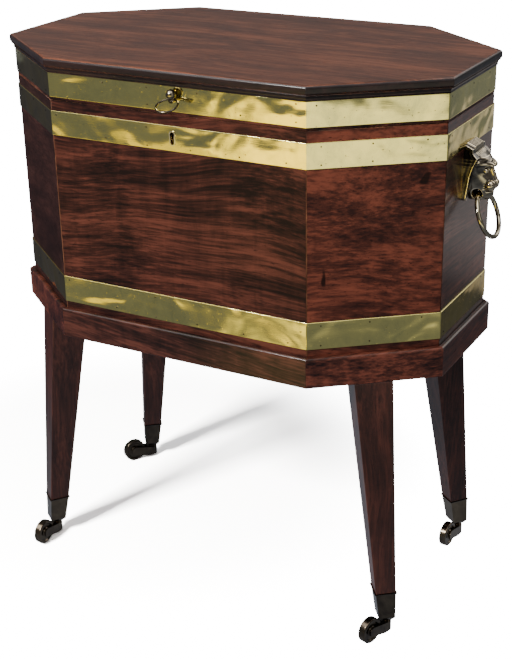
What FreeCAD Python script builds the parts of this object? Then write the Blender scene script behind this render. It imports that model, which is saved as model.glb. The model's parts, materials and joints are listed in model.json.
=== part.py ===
"""A brass-bound mahogany cellarette on a castored stand, as an assembly of separate pieces.

Frame: +X to the right along the coffer, -Y to the front, where the keyhole is, +Z up.
The origin is on the floor, in the middle of the overall width and depth.
All sizes are in millimetres and all angles in degrees.
"""
import FreeCAD, Part
import math
import os

from FreeCAD import Vector

# Coffer: an elongated octagon, each corner cut back by a cant
BODY_WIDTH = 590.0
BODY_DEPTH = 348.0
CANT_ALONG_FRONT = 125.0
CANT_ALONG_END = 98.0
COFFER_HEIGHT = 276.0
WALL = 18.0
BOTTOM_THICKNESS = 14.0

# Lid
SEAM_GAP = 0.6
LID_RIM_HEIGHT = 40.4
LID_BOARD_THICKNESS = 10.0
LID_OVERHANG = 6.0
LID_NOSE_RADIUS = 4.0
LID_UNDER_RADIUS = 1.5
COVE_HEIGHT = 8.0
COVE_FOOT = 2.0
COVE_REACH = 4.6
COVE_FILLET_STRIP = 1.4

# Brass bands
BAND_THICKNESS = 1.2
LID_BAND_RISE = 3.0
UPPER_BAND_HEIGHT = 30.0
UPPER_BAND_DROP = 13.0
LOWER_BAND_HEIGHT = 34.0
LOWER_BAND_RISE = 9.0

# Stand: apron rails with a rebate that takes the foot of the coffer
APRON_HEIGHT = 38.0
APRON_OVERHANG = 7.0
APRON_RAIL_INSET = 30.0
CORNER_BLOCK_INSET = 41.0
APRON_TOP_RADIUS = 3.0
APRON_FOOT_RADIUS = 1.2
REBATE_DEPTH = 8.0
REBATE_CLEARANCE = 0.3

# Legs: square, tapered, in the middle of each cant, splayed mostly along the coffer
LEG_LENGTH = 286.0
LEG_TOP_SIDE = 47.2
LEG_FOOT_SIDE = 26.0
LEG_SETBACK = 0.5
LEG_SPLAY_X = 30.6
LEG_SPLAY_Y = 13.4
LEG_TENON_SIDE = 28.0
LEG_TENON_HEIGHT = 22.0

# Castors
SOCKET_HEIGHT = 41.0
SOCKET_WALL = 1.3
SOCKET_FLOOR = 4.0
SOCKET_BASE_SIDE = 21.4
SOCKET_FOOT_SIDE = 14.0
SOCKET_CHAMFER = 5.0
SOCKET_LIP_REACH = 1.5
SOCKET_LIP_HEIGHT = 2.2
WHEEL_DIAMETER = 34.0
WHEEL_WIDTH = 10.0
WHEEL_EDGE_RADIUS = 1.6
WHEEL_DISH_DEPTH = 1.5
WHEEL_RIM = 4.0
WHEEL_HUB_DIAMETER = 11.0
AXLE_DIAMETER = 4.0
AXLE_CLEARANCE = 0.05
FORK_GAP = 0.35
FORK_CHEEK = 2.4
FORK_END_RADIUS = 6.5
FORK_WHEEL_GAP = 5.3
BOSS_DROP = 13.0
COLLAR_HEIGHT = 3.7
COLLAR_DIAMETER = 10.0
PIVOT_DIAMETER = 6.0
PIVOT_CLEARANCE = 0.05
PIVOT_GAP = 0.3
CASTOR_HEADINGS = {"front_left": 0.0, "front_right": 17.0, "back_right": 5.0, "back_left": 34.0}

# Metal liner and the crossed dividers that keep the bottles apart
LINER_THICKNESS = 1.6
LINER_CLEARANCE = 0.3
LINER_HEIGHT = 208.0
DIVIDER_THICKNESS = 8.0
DIVIDER_HEIGHT = 165.0
DIVIDER_CLEARANCE = 0.4
SLOT_CLEARANCE = 0.2
CROSS_DIVIDER_INSET = 3.0
LONG_DIVIDER_INSET = 9.6

# Lock, link plate and keyhole
LOCK_WIDTH = 70.0
LOCK_HEIGHT = 40.0
LOCK_DEPTH = 11.0
SELVAGE_WIDTH = 84.0
SELVAGE_DEPTH = 14.0
SELVAGE_THICKNESS = 2.5
LINK_PLATE_THICKNESS = 2.0
EYE_SPACING = 36.0
EYE_THICKNESS = 3.0
EYE_WIDTH = 7.0
EYE_DROP = 12.6
EYE_HOLE_WIDTH = 4.2
EYE_HOLE_HEIGHT = 4.5
EYE_HOLE_LIFT = 2.0
EYE_SLOT_CLEARANCE = 0.8
BOLT_TRAVEL = 6.0
BOLT_THICKNESS = 3.6
BOLT_BAR_HEIGHT = 4.0
BOLT_BAR_DROP = 2.0
BOLT_FINGER_HEIGHT = 3.7
BOLT_FINGER_LENGTH = 11.5
BOLT_RISER_WIDTH = 4.5
BOLT_TIP_GAP = 1.0
BOLT_CLEARANCE = 0.4
KEYHOLE_DROP = 27.5
KEYHOLE_HEIGHT = 14.8
KEYHOLE_EYE_RADIUS = 3.0
KEYHOLE_SLOT_WIDTH = 4.8
KEYHOLE_LINER_WALL = 1.3
KEYHOLE_LINER_PROUD = 0.8
KEYHOLE_LINER_DEPTH = 5.0
LOCK_BACK_PLATE = 2.0

# Butt hinges at the back
HINGE_INSET = 25.0
HINGE_LENGTH = 60.0
HINGE_KNUCKLE_RADIUS = 2.8
HINGE_PIN_RADIUS = 1.5
HINGE_PIN_CLEARANCE = 0.05
HINGE_STAND_OFF = 2.2
HINGE_LEAF_THICKNESS = 1.6
HINGE_LEAF_WIDTH = 14.0
HINGE_END_GAP = 0.3
HINGE_RELIEF = 0.3

# Lion-mask handles: a hooded mane with two lappets, a head, and a ring through the mouth
MASK_HEIGHT = 70.0
MASK_WIDTH = 46.0
MASK_CROWN_WIDTH = 37.0
MASK_SHOULDER_HEIGHT = 50.0
MASK_TOP_DROP = 36.0
# Side view of the hood from foot to crown: reach out from the end board and height over the foot
HOOD_PROFILE = (
    (4.5, 0.0),
    (5.0, 4.0),
    (6.2, 14.0),
    (8.4, 30.0),
    (12.0, 42.0),
    (17.0, 52.0),
    (18.0, 58.0),
    (17.5, 62.0),
    (3.0, 67.0),
)
LAPPET_INNER = 16.0
LAPPET_ROUND = 3.5
LAPPET_NOTCH = 12.0
LAPPET_NOTCH_HEIGHT = 19.0
CREST_WIDTH = 28.0
CREST_REACH = 18.5
CREST_DROP = 6.0
CREST_ROOT = 54.0
HEAD_BACK = 3.0
CHEEK_SHARE = 0.86
# Sections of the head from chin to crown: height over the foot, reach, half width, fullness
HEAD_SECTIONS = (
    (-0.5, 27.5, 7.0, 0.72),
    (4.0, 30.0, 9.8, 0.72),
    (8.5, 31.0, 11.5, 0.66),
    (12.0, 32.0, 13.0, 0.58),
    (17.0, 34.0, 14.5, 0.52),
    (23.0, 33.0, 16.0, 0.50),
    (29.0, 29.5, 17.0, 0.54),
    (35.0, 26.5, 17.5, 0.62),
    (41.0, 28.5, 17.5, 0.70),
    (46.0, 27.5, 17.0, 0.76),
    (51.0, 23.0, 16.0, 0.80),
    (57.0, 19.0, 14.5, 0.84),
    (63.0, 15.5, 13.0, 0.85),
)
BROW_INNER = (28.2, 5.5, 41.5)
BROW_OUTER = (15.0, 15.5, 46.0)
BROW_RADIUS = 4.0
EYE_PLACE = (23.0, 9.0, 35.5)
EYE_RADIUS = 3.4
EYE_SOCKET_PLACE = (27.0, 9.5, 37.0)
EYE_SOCKET_RADIUS = 5.2
NOSE_ROOT = (25.5, 0.0, 41.0)
NOSE_TIP = (33.0, 0.0, 21.5)
NOSE_RADIUS = 4.2
NOSE_BRIDGE_RADIUS = 3.1
MUZZLE_PLACE = (28.0, 5.8, 18.0)
MUZZLE_RADIUS = 7.0
MOUTH_HEIGHT = 10.4
MOUTH_OPENING = 1.8
MOUTH_BACK = 24.0
MASK_STUD_DIAMETER = 7.0
MASK_NUT_SIDE = 14.0
MASK_NUT_THICKNESS = 5.0
HANDLE_RING_DIAMETER = 61.0
HANDLE_WIRE_DIAMETER = 6.0
HANDLE_PIVOT_HEIGHT = 7.0
HANDLE_PIVOT_REACH = 15.2
HANDLE_BORE_LENGTH = 29.0
HANDLE_REST_TILT = 22.0
RING_CLEARANCE = 0.25

# Lid knob, a little to the right of the keyhole: a boss bored across for the drop ring, and a ball on it
KNOB_X = 5.0
KNOB_RISE = 18.9
KNOB_BOSS_DIAMETER = 8.0
KNOB_BOSS_LENGTH = 8.0
KNOB_PIVOT_REACH = 4.5
KNOB_BALL_DIAMETER = 12.0
KNOB_BALL_REACH = 7.0
KNOB_BALL_RISE = 6.0
KNOB_STUD_DIAMETER = 4.6
KNOB_NUT_SIDE = 10.0
KNOB_NUT_THICKNESS = 3.0
KNOB_RING_DIAMETER = 28.0
KNOB_WIRE_DIAMETER = 2.3
KNOB_BORE_LENGTH = 9.2
KNOB_REST_TILT = 69.0

# Screws that hold the coffer down on the stand
SCREW_END_INSET = 55.0
SCREW_INSET = 9.0
SCREW_SHANK_DIAMETER = 4.5
SCREW_HEAD_DIAMETER = 9.0
SCREW_HEAD_HEIGHT = 4.0
SCREW_COUNTERBORE = 12.0
SCREW_BITE = 22.0

# Levels above the floor, from the wheels up
AXLE_Z = WHEEL_DIAMETER / 2
BOSS_BOTTOM_Z = AXLE_Z - BOSS_DROP
SOCKET_FOOT_Z = AXLE_Z + COLLAR_HEIGHT + PIVOT_GAP
SOCKET_LIP_Z = SOCKET_FOOT_Z + SOCKET_HEIGHT
APRON_BOTTOM_Z = SOCKET_LIP_Z + LEG_LENGTH
APRON_TOP_Z = APRON_BOTTOM_Z + APRON_HEIGHT
COFFER_BASE_Z = APRON_TOP_Z - REBATE_DEPTH
COFFER_TOP_Z = COFFER_BASE_Z + COFFER_HEIGHT
INNER_FLOOR_Z = COFFER_BASE_Z + BOTTOM_THICKNESS
LID_BASE_Z = COFFER_TOP_Z + SEAM_GAP
LID_BOARD_Z = LID_BASE_Z + LID_RIM_HEIGHT
LID_TOP_Z = LID_BOARD_Z + LID_BOARD_THICKNESS
LOWER_BAND_Z = APRON_TOP_Z + LOWER_BAND_RISE
UPPER_BAND_Z = COFFER_TOP_Z - UPPER_BAND_DROP - UPPER_BAND_HEIGHT
LID_BAND_Z = LID_BASE_Z + LID_BAND_RISE
LID_BAND_HEIGHT = LID_RIM_HEIGHT - LID_BAND_RISE - COVE_HEIGHT
LINER_TOP_Z = INNER_FLOOR_Z + LINER_HEIGHT
DIVIDER_BASE_Z = INNER_FLOOR_Z + LINER_THICKNESS

# Places that several pieces share
FRONT_Y = -BODY_DEPTH / 2
BACK_Y = BODY_DEPTH / 2
INNER_FRONT_Y = FRONT_Y + WALL
HINGE_Y = BACK_Y + HINGE_STAND_OFF
HINGE_Z = COFFER_TOP_Z + SEAM_GAP / 2
LOCK_Y = INNER_FRONT_Y - LOCK_DEPTH / 2
KEYHOLE_Z = COFFER_TOP_Z - KEYHOLE_DROP
KNOB_Z = LID_BASE_Z + KNOB_RISE
KNOB_FOOT_Y = FRONT_Y - BAND_THICKNESS
KNOB_PIVOT_Y = KNOB_FOOT_Y - KNOB_PIVOT_REACH
KNOB_RING_RADIUS = (KNOB_RING_DIAMETER - KNOB_WIRE_DIAMETER) / 2
MASK_TOP_Z = COFFER_TOP_Z - MASK_TOP_DROP
MASK_FOOT_Z = MASK_TOP_Z - MASK_HEIGHT
MASK_STUD_Z = MASK_FOOT_Z + MASK_HEIGHT / 2
HANDLE_PIVOT_X = BODY_WIDTH / 2 + HANDLE_PIVOT_REACH
HANDLE_PIVOT_Z = MASK_FOOT_Z + HANDLE_PIVOT_HEIGHT
HANDLE_RING_RADIUS = (HANDLE_RING_DIAMETER - HANDLE_WIRE_DIAMETER) / 2
FORK_WIDTH = WHEEL_WIDTH + 2 * (FORK_GAP + FORK_CHEEK)
CASTOR_TRAIL = FORK_WIDTH / 2 + FORK_WHEEL_GAP + WHEEL_DIAMETER / 2

# The knob's ring reaches furthest to the front and the lid's edge furthest to the back
FRONT_REACH = -KNOB_PIVOT_Y + 2 * KNOB_RING_RADIUS * math.sin(math.radians(KNOB_REST_TILT))
FRONT_REACH += KNOB_WIRE_DIAMETER / 2
BACK_REACH = BACK_Y + LID_OVERHANG
ORIGIN_SHIFT_Y = (FRONT_REACH - BACK_REACH) / 2

UP = Vector(0, 0, 1)
ALONG_X = Vector(1, 0, 0)
ALONG_Y = Vector(0, 1, 0)
OVERCUT = 1.0
SIDES = ("front", "front_right", "right_end", "back_right", "back", "back_left", "left_end", "front_left")
CORNER_SIGNS = {"front_left": (-1, -1), "front_right": (1, -1), "back_right": (1, 1), "back_left": (-1, 1)}


def corners():
    """Corners of the coffer's outline, anticlockwise from the left end of the front."""
    half_width, half_depth = BODY_WIDTH / 2, BODY_DEPTH / 2
    x_cant, y_cant = half_width - CANT_ALONG_FRONT, half_depth - CANT_ALONG_END
    quarter = ((x_cant, half_depth), (half_width, y_cant))
    front = [(-quarter[0][0], -quarter[0][1]), (quarter[0][0], -quarter[0][1])]
    right = [(quarter[1][0], -quarter[1][1]), quarter[1]]
    back = [quarter[0], (-quarter[0][0], quarter[0][1])]
    left = [(-quarter[1][0], quarter[1][1]), (-quarter[1][0], -quarter[1][1])]
    return [Vector(x, y, 0) for x, y in front + right + back + left]


def side_normal(side):
    """Outward normal of one side of the outline."""
    points = corners()
    along = points[(side + 1) % 8] - points[side % 8]
    along.normalize()
    return Vector(along.y, -along.x, 0)


def corner(index, offset):
    """Corner of the outline after every side has moved outwards by offset."""
    before, after = side_normal(index - 1), side_normal(index)
    bisector = (before + after) * (1 / (1 + before.dot(after)))
    return corners()[index % 8] + bisector * offset


def prism(points, bottom, top):
    """Upright prism on a list of plan points."""
    ring = [Vector(p.x, p.y, bottom) for p in points]
    face = Part.Face(Part.makePolygon(ring + ring[:1]))
    return face.extrude(UP * (top - bottom))


def octagon(offset, bottom, top):
    """Solid octagon of the coffer's outline, moved outwards by offset."""
    return prism([corner(i, offset) for i in range(8)], bottom, top)


def block(low, high):
    """Box between two opposite corners."""
    return Part.makeBox(high[0] - low[0], high[1] - low[1], high[2] - low[2], Vector(*low))


def rod(start, direction, radius, length):
    """Round bar from a point along a direction."""
    return Part.makeCylinder(radius, length, start, direction)


def flat_face(start, *steps):
    """Closed face in the XZ plane. A step is an end point, or an arc's middle and end points."""
    edges = []
    here = Vector(start[0], 0, start[1])
    for step in steps + (start,):
        if isinstance(step[0], tuple):
            middle, end = (Vector(p[0], 0, p[1]) for p in step)
            edges.append(Part.Arc(here, middle, end).toShape())
        else:
            end = Vector(step[0], 0, step[1])
            edges.append(Part.LineSegment(here, end).toShape())
        here = end
    return Part.Face(Part.Wire(edges))


def turned(profile, base, axis):
    """Solid of revolution of a profile about an axis."""
    return profile.revolve(base, axis, 360)


def on_side(shape, side):
    """Moves a shape from side axes (x outwards, y along, z up) to its place on one side."""
    normal = side_normal(side)
    middle = (corner(side, 0) + corner(side + 1, 0)) * 0.5
    turn = FreeCAD.Rotation(UP, math.degrees(math.atan2(normal.y, normal.x)))
    placed = shape.copy()
    placed.Placement = FreeCAD.Placement(middle, turn).multiply(placed.Placement)
    return placed


def mitred_length(profile, side):
    """Profile (x outwards, z up) carried along one side and mitred at both ends."""
    size = profile.BoundBox
    bar = profile.extrude(ALONG_Y * BODY_WIDTH)
    bar.translate(ALONG_Y * (-BODY_WIDTH / 2))
    outer, inner = size.XMax + OVERCUT, size.XMin - OVERCUT
    plan = [corner(side, outer), corner(side + 1, outer), corner(side + 1, inner), corner(side, inner)]
    wedge = prism(plan, size.ZMin - OVERCUT, size.ZMax + OVERCUT)
    return on_side(bar, side).common(wedge)


def rectangle(inner, outer, bottom, top):
    """Rectangular profile, x outwards and z up."""
    return flat_face((inner, bottom), (outer, bottom), (outer, top), (inner, top))


def ring_band(height, bottom):
    """Brass band bent round the outline as one closed strip."""
    outside = octagon(BAND_THICKNESS, bottom, bottom + height)
    return outside.cut(octagon(0, bottom - OVERCUT, bottom + height + OVERCUT))


def group(solids):
    """Several separate solids in one node."""
    return Part.makeCompound(solids)


# Coffer

def keyhole_prism(extra, start_y, end_y):
    """Keyhole outline, round at the top with a straight slot below, made wider by extra."""
    half = KEYHOLE_SLOT_WIDTH / 2 + extra
    eye = KEYHOLE_EYE_RADIUS + extra
    eye_z = KEYHOLE_Z + KEYHOLE_HEIGHT / 2 - KEYHOLE_EYE_RADIUS
    foot_z = KEYHOLE_Z - KEYHOLE_HEIGHT / 2 + KEYHOLE_SLOT_WIDTH / 2
    neck_z = eye_z - math.sqrt(eye * eye - half * half)
    foot_arc = ((0, foot_z - half), (half, foot_z))
    eye_arc = ((0, eye_z + eye), (-half, neck_z))
    face = flat_face((-half, foot_z), foot_arc, (half, neck_z), eye_arc)
    face.translate(ALONG_Y * start_y)
    return face.extrude(ALONG_Y * (end_y - start_y))


def panel(side):
    """One board of the coffer's wall."""
    return mitred_length(rectangle(-WALL, 0, COFFER_BASE_Z, COFFER_TOP_Z), side)


def front_panel():
    """Front board, bored for the key and the liner, mortised for the lock, screwed to the apron."""
    board = panel(SIDES.index("front"))
    band_face = FRONT_Y - BAND_THICKNESS
    board = board.cut(keyhole_prism(KEYHOLE_LINER_WALL, band_face, FRONT_Y + KEYHOLE_LINER_DEPTH))
    board = board.cut(keyhole_prism(0, band_face, INNER_FRONT_Y))
    board = board.cut(lock_envelope())
    return cut_all(board, [s for s in stand_screws() if s.BoundBox.YMax < 0])


def back_panel():
    """Back board with the hinges let in, screwed to the apron."""
    board = panel(SIDES.index("back"))
    board = cut_all(board, hinge_mortises(COFFER_TOP_Z - HINGE_LEAF_THICKNESS, COFFER_TOP_Z))
    return cut_all(board, [s for s in stand_screws() if s.BoundBox.YMin > 0])


def end_panel(side):
    """End board, bored for the mask's stud and recessed inside for its nut."""
    outward = side_normal(side)
    face = outward * (BODY_WIDTH / 2) + UP * MASK_STUD_Z
    stud_hole = rod(face, outward * -1, MASK_STUD_DIAMETER / 2, WALL)
    return panel(side).cut(stud_hole).cut(handle_nut_blank(side))


def cut_all(shape, tools):
    """Cuts several shapes out of one."""
    for tool in tools:
        shape = shape.cut(tool)
    return shape


def bottom_board():
    """Floor of the coffer, inside the walls."""
    return octagon(-WALL, COFFER_BASE_Z, INNER_FLOOR_Z)


def upper_body_band():
    """Band under the seam, cut through for the keyhole liner."""
    band = ring_band(UPPER_BAND_HEIGHT, UPPER_BAND_Z)
    start_y = FRONT_Y - BAND_THICKNESS - OVERCUT
    return band.cut(keyhole_prism(KEYHOLE_LINER_WALL, start_y, FRONT_Y + OVERCUT))


def keyhole_liner():
    """Brass liner of the keyhole, standing a little proud of the band."""
    proud_y = FRONT_Y - BAND_THICKNESS - KEYHOLE_LINER_PROUD
    end_y = FRONT_Y + KEYHOLE_LINER_DEPTH
    outside = keyhole_prism(KEYHOLE_LINER_WALL, proud_y, end_y)
    return outside.cut(keyhole_prism(0, proud_y - OVERCUT, end_y + OVERCUT))


def lock_envelope():
    """Space that the lock takes in the front board: its case and the selvage on top."""
    case = block(
        (-LOCK_WIDTH / 2, INNER_FRONT_Y - LOCK_DEPTH, COFFER_TOP_Z - LOCK_HEIGHT),
        (LOCK_WIDTH / 2, INNER_FRONT_Y, COFFER_TOP_Z),
    )
    selvage = block(
        (-SELVAGE_WIDTH / 2, INNER_FRONT_Y - SELVAGE_DEPTH, COFFER_TOP_Z - SELVAGE_THICKNESS),
        (SELVAGE_WIDTH / 2, INNER_FRONT_Y, COFFER_TOP_Z),
    )
    return case.fuse(selvage).removeSplitter()


def eye_centres():
    """X of the two eyes on the link plate."""
    return (-EYE_SPACING / 2, EYE_SPACING / 2)


def bolt_levels():
    """Heights of the bolt: bar bottom, bar top, finger bottom and finger top."""
    eye_foot = LID_BASE_Z - EYE_DROP
    bar_top = eye_foot - BOLT_BAR_DROP
    finger_middle = eye_foot + EYE_HOLE_LIFT + EYE_HOLE_HEIGHT / 2
    half_finger = BOLT_FINGER_HEIGHT / 2
    return bar_top - BOLT_BAR_HEIGHT, bar_top, finger_middle - half_finger, finger_middle + half_finger


def bolt_shape(extra, travel):
    """Comb-shaped bolt: a bar with one finger for each eye, grown by extra and by its travel."""
    bar_bottom, bar_top, finger_bottom, finger_top = bolt_levels()
    half = BOLT_THICKNESS / 2 + extra
    tips = [x - EYE_THICKNESS / 2 - BOLT_TIP_GAP for x in eye_centres()]
    bar_start = tips[0] - BOLT_FINGER_LENGTH - extra
    bar_end = tips[1] - BOLT_FINGER_LENGTH + BOLT_RISER_WIDTH + travel + extra
    bolt = block((bar_start, LOCK_Y - half, bar_bottom - extra), (bar_end, LOCK_Y + half, bar_top + extra))
    for tip in tips:
        start = tip - BOLT_FINGER_LENGTH - extra
        riser_end = start + BOLT_RISER_WIDTH + travel + 2 * extra
        riser = block((start, LOCK_Y - half, bar_bottom), (riser_end, LOCK_Y + half, finger_top + extra))
        low = (start, LOCK_Y - half, finger_bottom - extra)
        finger = block(low, (tip + travel + extra, LOCK_Y + half, finger_top + extra))
        bolt = bolt.fuse(riser).fuse(finger)
    return bolt.removeSplitter()


def lock_case():
    """Lock case with slots for the two eyes, a channel for the bolt and the key's way in."""
    case = lock_envelope().cut(bolt_shape(BOLT_CLEARANCE, BOLT_TRAVEL))
    half_x = EYE_THICKNESS / 2 + EYE_SLOT_CLEARANCE
    half_y = EYE_WIDTH / 2 + EYE_SLOT_CLEARANCE / 2
    slot_foot = LID_BASE_Z - EYE_DROP - EYE_SLOT_CLEARANCE
    for x in eye_centres():
        low = (x - half_x, LOCK_Y - half_y, slot_foot)
        case = case.cut(block(low, (x + half_x, LOCK_Y + half_y, COFFER_TOP_Z + OVERCUT)))
    return case.cut(keyhole_prism(0, FRONT_Y, INNER_FRONT_Y - LOCK_BACK_PLATE))


def lock_bolt():
    """The bolt, drawn back so that the lid is free."""
    return bolt_shape(0, 0)


def stand_screws():
    """Four screws from under the long apron rails up into the front and back boards."""
    screws = []
    place = corner(SIDES.index("back"), 0).x - SCREW_END_INSET
    head_z = APRON_BOTTOM_Z + SCREW_COUNTERBORE
    tip_z = COFFER_BASE_Z + SCREW_BITE
    for y in (FRONT_Y + SCREW_INSET, BACK_Y - SCREW_INSET):
        for x in (-place, place):
            head = rod(Vector(x, y, head_z), UP, SCREW_HEAD_DIAMETER / 2, SCREW_HEAD_HEIGHT)
            shank = rod(Vector(x, y, head_z), UP, SCREW_SHANK_DIAMETER / 2, tip_z - head_z)
            screws.append(head.fuse(shank).removeSplitter())
    return screws


# Inside

def metal_liner():
    """Open metal tray that fills the inside of the coffer up to below the lock."""
    outer = octagon(-WALL - LINER_CLEARANCE, INNER_FLOOR_Z, LINER_TOP_Z)
    inner_offset = -WALL - LINER_CLEARANCE - LINER_THICKNESS
    return outer.cut(octagon(inner_offset, DIVIDER_BASE_Z, LINER_TOP_Z + OVERCUT))


def inside_offset():
    """How far the clear room for the dividers lies inside the outline."""
    return WALL + LINER_CLEARANCE + LINER_THICKNESS + DIVIDER_CLEARANCE


def inside_half_size():
    """Half the clear width and depth inside the liner."""
    return BODY_WIDTH / 2 - inside_offset(), BODY_DEPTH / 2 - inside_offset()


def long_divider_places():
    """Y of the two long dividers, each set in from a corner of the end board's inner face."""
    inner_corner = corner(SIDES.index("back_right"), -inside_offset())
    place = inner_corner.y - LONG_DIVIDER_INSET - DIVIDER_THICKNESS / 2
    return (-place, place)


def cross_divider_places():
    """X of the four cross dividers, evenly spaced, the outer ones near the front board's corners."""
    inner_corner = corner(SIDES.index("front_right"), -inside_offset())
    outer = inner_corner.x - CROSS_DIVIDER_INSET - DIVIDER_THICKNESS / 2
    return (-outer, -outer / 3, outer / 3, outer)


def long_dividers():
    """Two boards along the coffer, slotted from above for the cross dividers."""
    half_width = inside_half_size()[0]
    top, middle = DIVIDER_BASE_Z + DIVIDER_HEIGHT, DIVIDER_BASE_Z + DIVIDER_HEIGHT / 2
    half, slot = DIVIDER_THICKNESS / 2, DIVIDER_THICKNESS / 2 + SLOT_CLEARANCE
    boards = []
    for y in long_divider_places():
        board = block((-half_width, y - half, DIVIDER_BASE_Z), (half_width, y + half, top))
        for x in cross_divider_places():
            board = board.cut(block((x - slot, y - half, middle), (x + slot, y + half, top)))
        boards.append(board)
    return boards


def cross_dividers():
    """Four boards across the coffer, slotted from below to drop over the long ones."""
    half_depth = inside_half_size()[1]
    top, middle = DIVIDER_BASE_Z + DIVIDER_HEIGHT, DIVIDER_BASE_Z + DIVIDER_HEIGHT / 2
    half, slot = DIVIDER_THICKNESS / 2, DIVIDER_THICKNESS / 2 + SLOT_CLEARANCE
    boards = []
    for x in cross_divider_places():
        board = block((x - half, -half_depth, DIVIDER_BASE_Z), (x + half, half_depth, top))
        for y in long_divider_places():
            board = board.cut(block((x - half, y - slot, DIVIDER_BASE_Z), (x + half, y + slot, middle)))
        boards.append(board)
    return boards


# Lid

def lid_top_board():
    """Top board with a rounded nose all round."""
    board = octagon(LID_OVERHANG, LID_BOARD_Z, LID_TOP_Z)
    top_edges = [e for e in board.Edges if abs(e.BoundBox.ZMin - LID_TOP_Z) < 0.01]
    board = board.makeFillet(LID_NOSE_RADIUS, top_edges)
    low_edges = [e for e in board.Edges if abs(e.BoundBox.ZMax - LID_BOARD_Z) < 0.01]
    return board.makeFillet(LID_UNDER_RADIUS, low_edges)


def lid_cove_moulding():
    """Eight mitred lengths of cove moulding under the edge of the top board."""
    foot_z = LID_BOARD_Z - COVE_HEIGHT
    cove_start = (COVE_FOOT, foot_z + COVE_FILLET_STRIP)
    cove_end = (COVE_REACH, LID_BOARD_Z - COVE_FILLET_STRIP)
    spread, rise = cove_end[0] - cove_start[0], cove_end[1] - cove_start[1]
    hollow = (cove_start[0] + spread * (1 - math.sqrt(0.5)), cove_start[1] + rise * math.sqrt(0.5))
    section = flat_face(
        (0, foot_z),
        (COVE_FOOT, foot_z),
        cove_start,
        (hollow, cove_end),
        (COVE_REACH, LID_BOARD_Z),
        (0, LID_BOARD_Z),
    )
    return [mitred_length(section, side) for side in range(8)]


def lid_rim_boards():
    """Eight mitred boards that make the depth of the lid."""
    section = rectangle(-WALL, 0, LID_BASE_Z, LID_BOARD_Z)
    boards = [mitred_length(section, side) for side in range(8)]
    front, back = SIDES.index("front"), SIDES.index("back")
    boards[front] = boards[front].cut(link_plate_blank()).cut(knob_stud(WALL))
    boards[back] = cut_all(boards[back], hinge_mortises(LID_BASE_Z, LID_BASE_Z + HINGE_LEAF_THICKNESS))
    return boards


def lid_band():
    """Band round the lid, bored for the knob."""
    return ring_band(LID_BAND_HEIGHT, LID_BAND_Z).cut(knob_stud(WALL))


def link_plate_blank():
    """Plate let into the underside of the lid's front board."""
    return block(
        (-SELVAGE_WIDTH / 2, INNER_FRONT_Y - SELVAGE_DEPTH, LID_BASE_Z),
        (SELVAGE_WIDTH / 2, INNER_FRONT_Y, LID_BASE_Z + LINK_PLATE_THICKNESS),
    )


def lock_link_plate():
    """Link plate with two eyes that drop into the lock."""
    plate = link_plate_blank()
    foot = LID_BASE_Z - EYE_DROP
    half_x, half_y, half_hole = EYE_THICKNESS / 2, EYE_WIDTH / 2, EYE_HOLE_WIDTH / 2
    hole_z = foot + EYE_HOLE_LIFT
    for x in eye_centres():
        eye = block((x - half_x, LOCK_Y - half_y, foot), (x + half_x, LOCK_Y + half_y, LID_BASE_Z))
        low = (x - half_x, LOCK_Y - half_hole, hole_z)
        eye = eye.cut(block(low, (x + half_x, LOCK_Y + half_hole, hole_z + EYE_HOLE_HEIGHT)))
        plate = plate.fuse(eye)
    return plate.removeSplitter()


def knob_stud(depth):
    """Stud of the knob through the band and a depth of the lid's front board."""
    return rod(Vector(KNOB_X, KNOB_FOOT_Y, KNOB_Z), ALONG_Y, KNOB_STUD_DIAMETER / 2, BAND_THICKNESS + depth)


def ring_bore(centre, axis, mean_radius, wire_radius, half_length):
    """Bore that widens to both ends as the ring curves away, so that the ring swings free in it."""
    throat = wire_radius + RING_CLEARANCE
    mouth = mean_radius - math.sqrt((mean_radius - throat) ** 2 - half_length ** 2)
    waist = ((throat, 0), (mouth, half_length))
    section = flat_face((0, -half_length), (mouth, -half_length), waist, (0, half_length))
    bore = turned(section, Vector(0, 0, 0), UP)
    bore.Placement = FreeCAD.Placement(centre, FreeCAD.Rotation(UP, axis))
    return bore


def drop_ring(pivot, swing_axis, outward, mean_radius, wire_radius, tilt):
    """Ring hanging from a pivot, swung outwards from straight down by tilt."""
    angle = math.radians(tilt)
    hang = outward * math.sin(angle) - UP * math.cos(angle)
    return Part.makeTorus(mean_radius, wire_radius, pivot + hang * mean_radius, hang.cross(swing_axis))


def lid_knob():
    """Boss bored across for the ring, a ball above it, and a stud through the lid's front board."""
    boss = rod(Vector(KNOB_X, KNOB_FOOT_Y, KNOB_Z), ALONG_Y * -1, KNOB_BOSS_DIAMETER / 2, KNOB_BOSS_LENGTH)
    ball_centre = Vector(KNOB_X, KNOB_FOOT_Y - KNOB_BALL_REACH, KNOB_Z + KNOB_BALL_RISE)
    ball = Part.makeSphere(KNOB_BALL_DIAMETER / 2, ball_centre)
    knob = boss.fuse(ball).fuse(knob_stud(WALL + KNOB_NUT_THICKNESS)).removeSplitter()
    pivot = Vector(KNOB_X, KNOB_PIVOT_Y, KNOB_Z)
    wire = KNOB_WIRE_DIAMETER / 2
    return knob.cut(ring_bore(pivot, ALONG_X, KNOB_RING_RADIUS, wire, KNOB_BORE_LENGTH / 2))


def knob_nut():
    """Square nut on the knob's stud, inside the lid."""
    half = KNOB_NUT_SIDE / 2
    end_y = INNER_FRONT_Y + KNOB_NUT_THICKNESS
    low = (KNOB_X - half, INNER_FRONT_Y, KNOB_Z - half)
    nut = block(low, (KNOB_X + half, end_y, KNOB_Z + half))
    return nut.cut(knob_stud(WALL + KNOB_NUT_THICKNESS))


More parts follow.
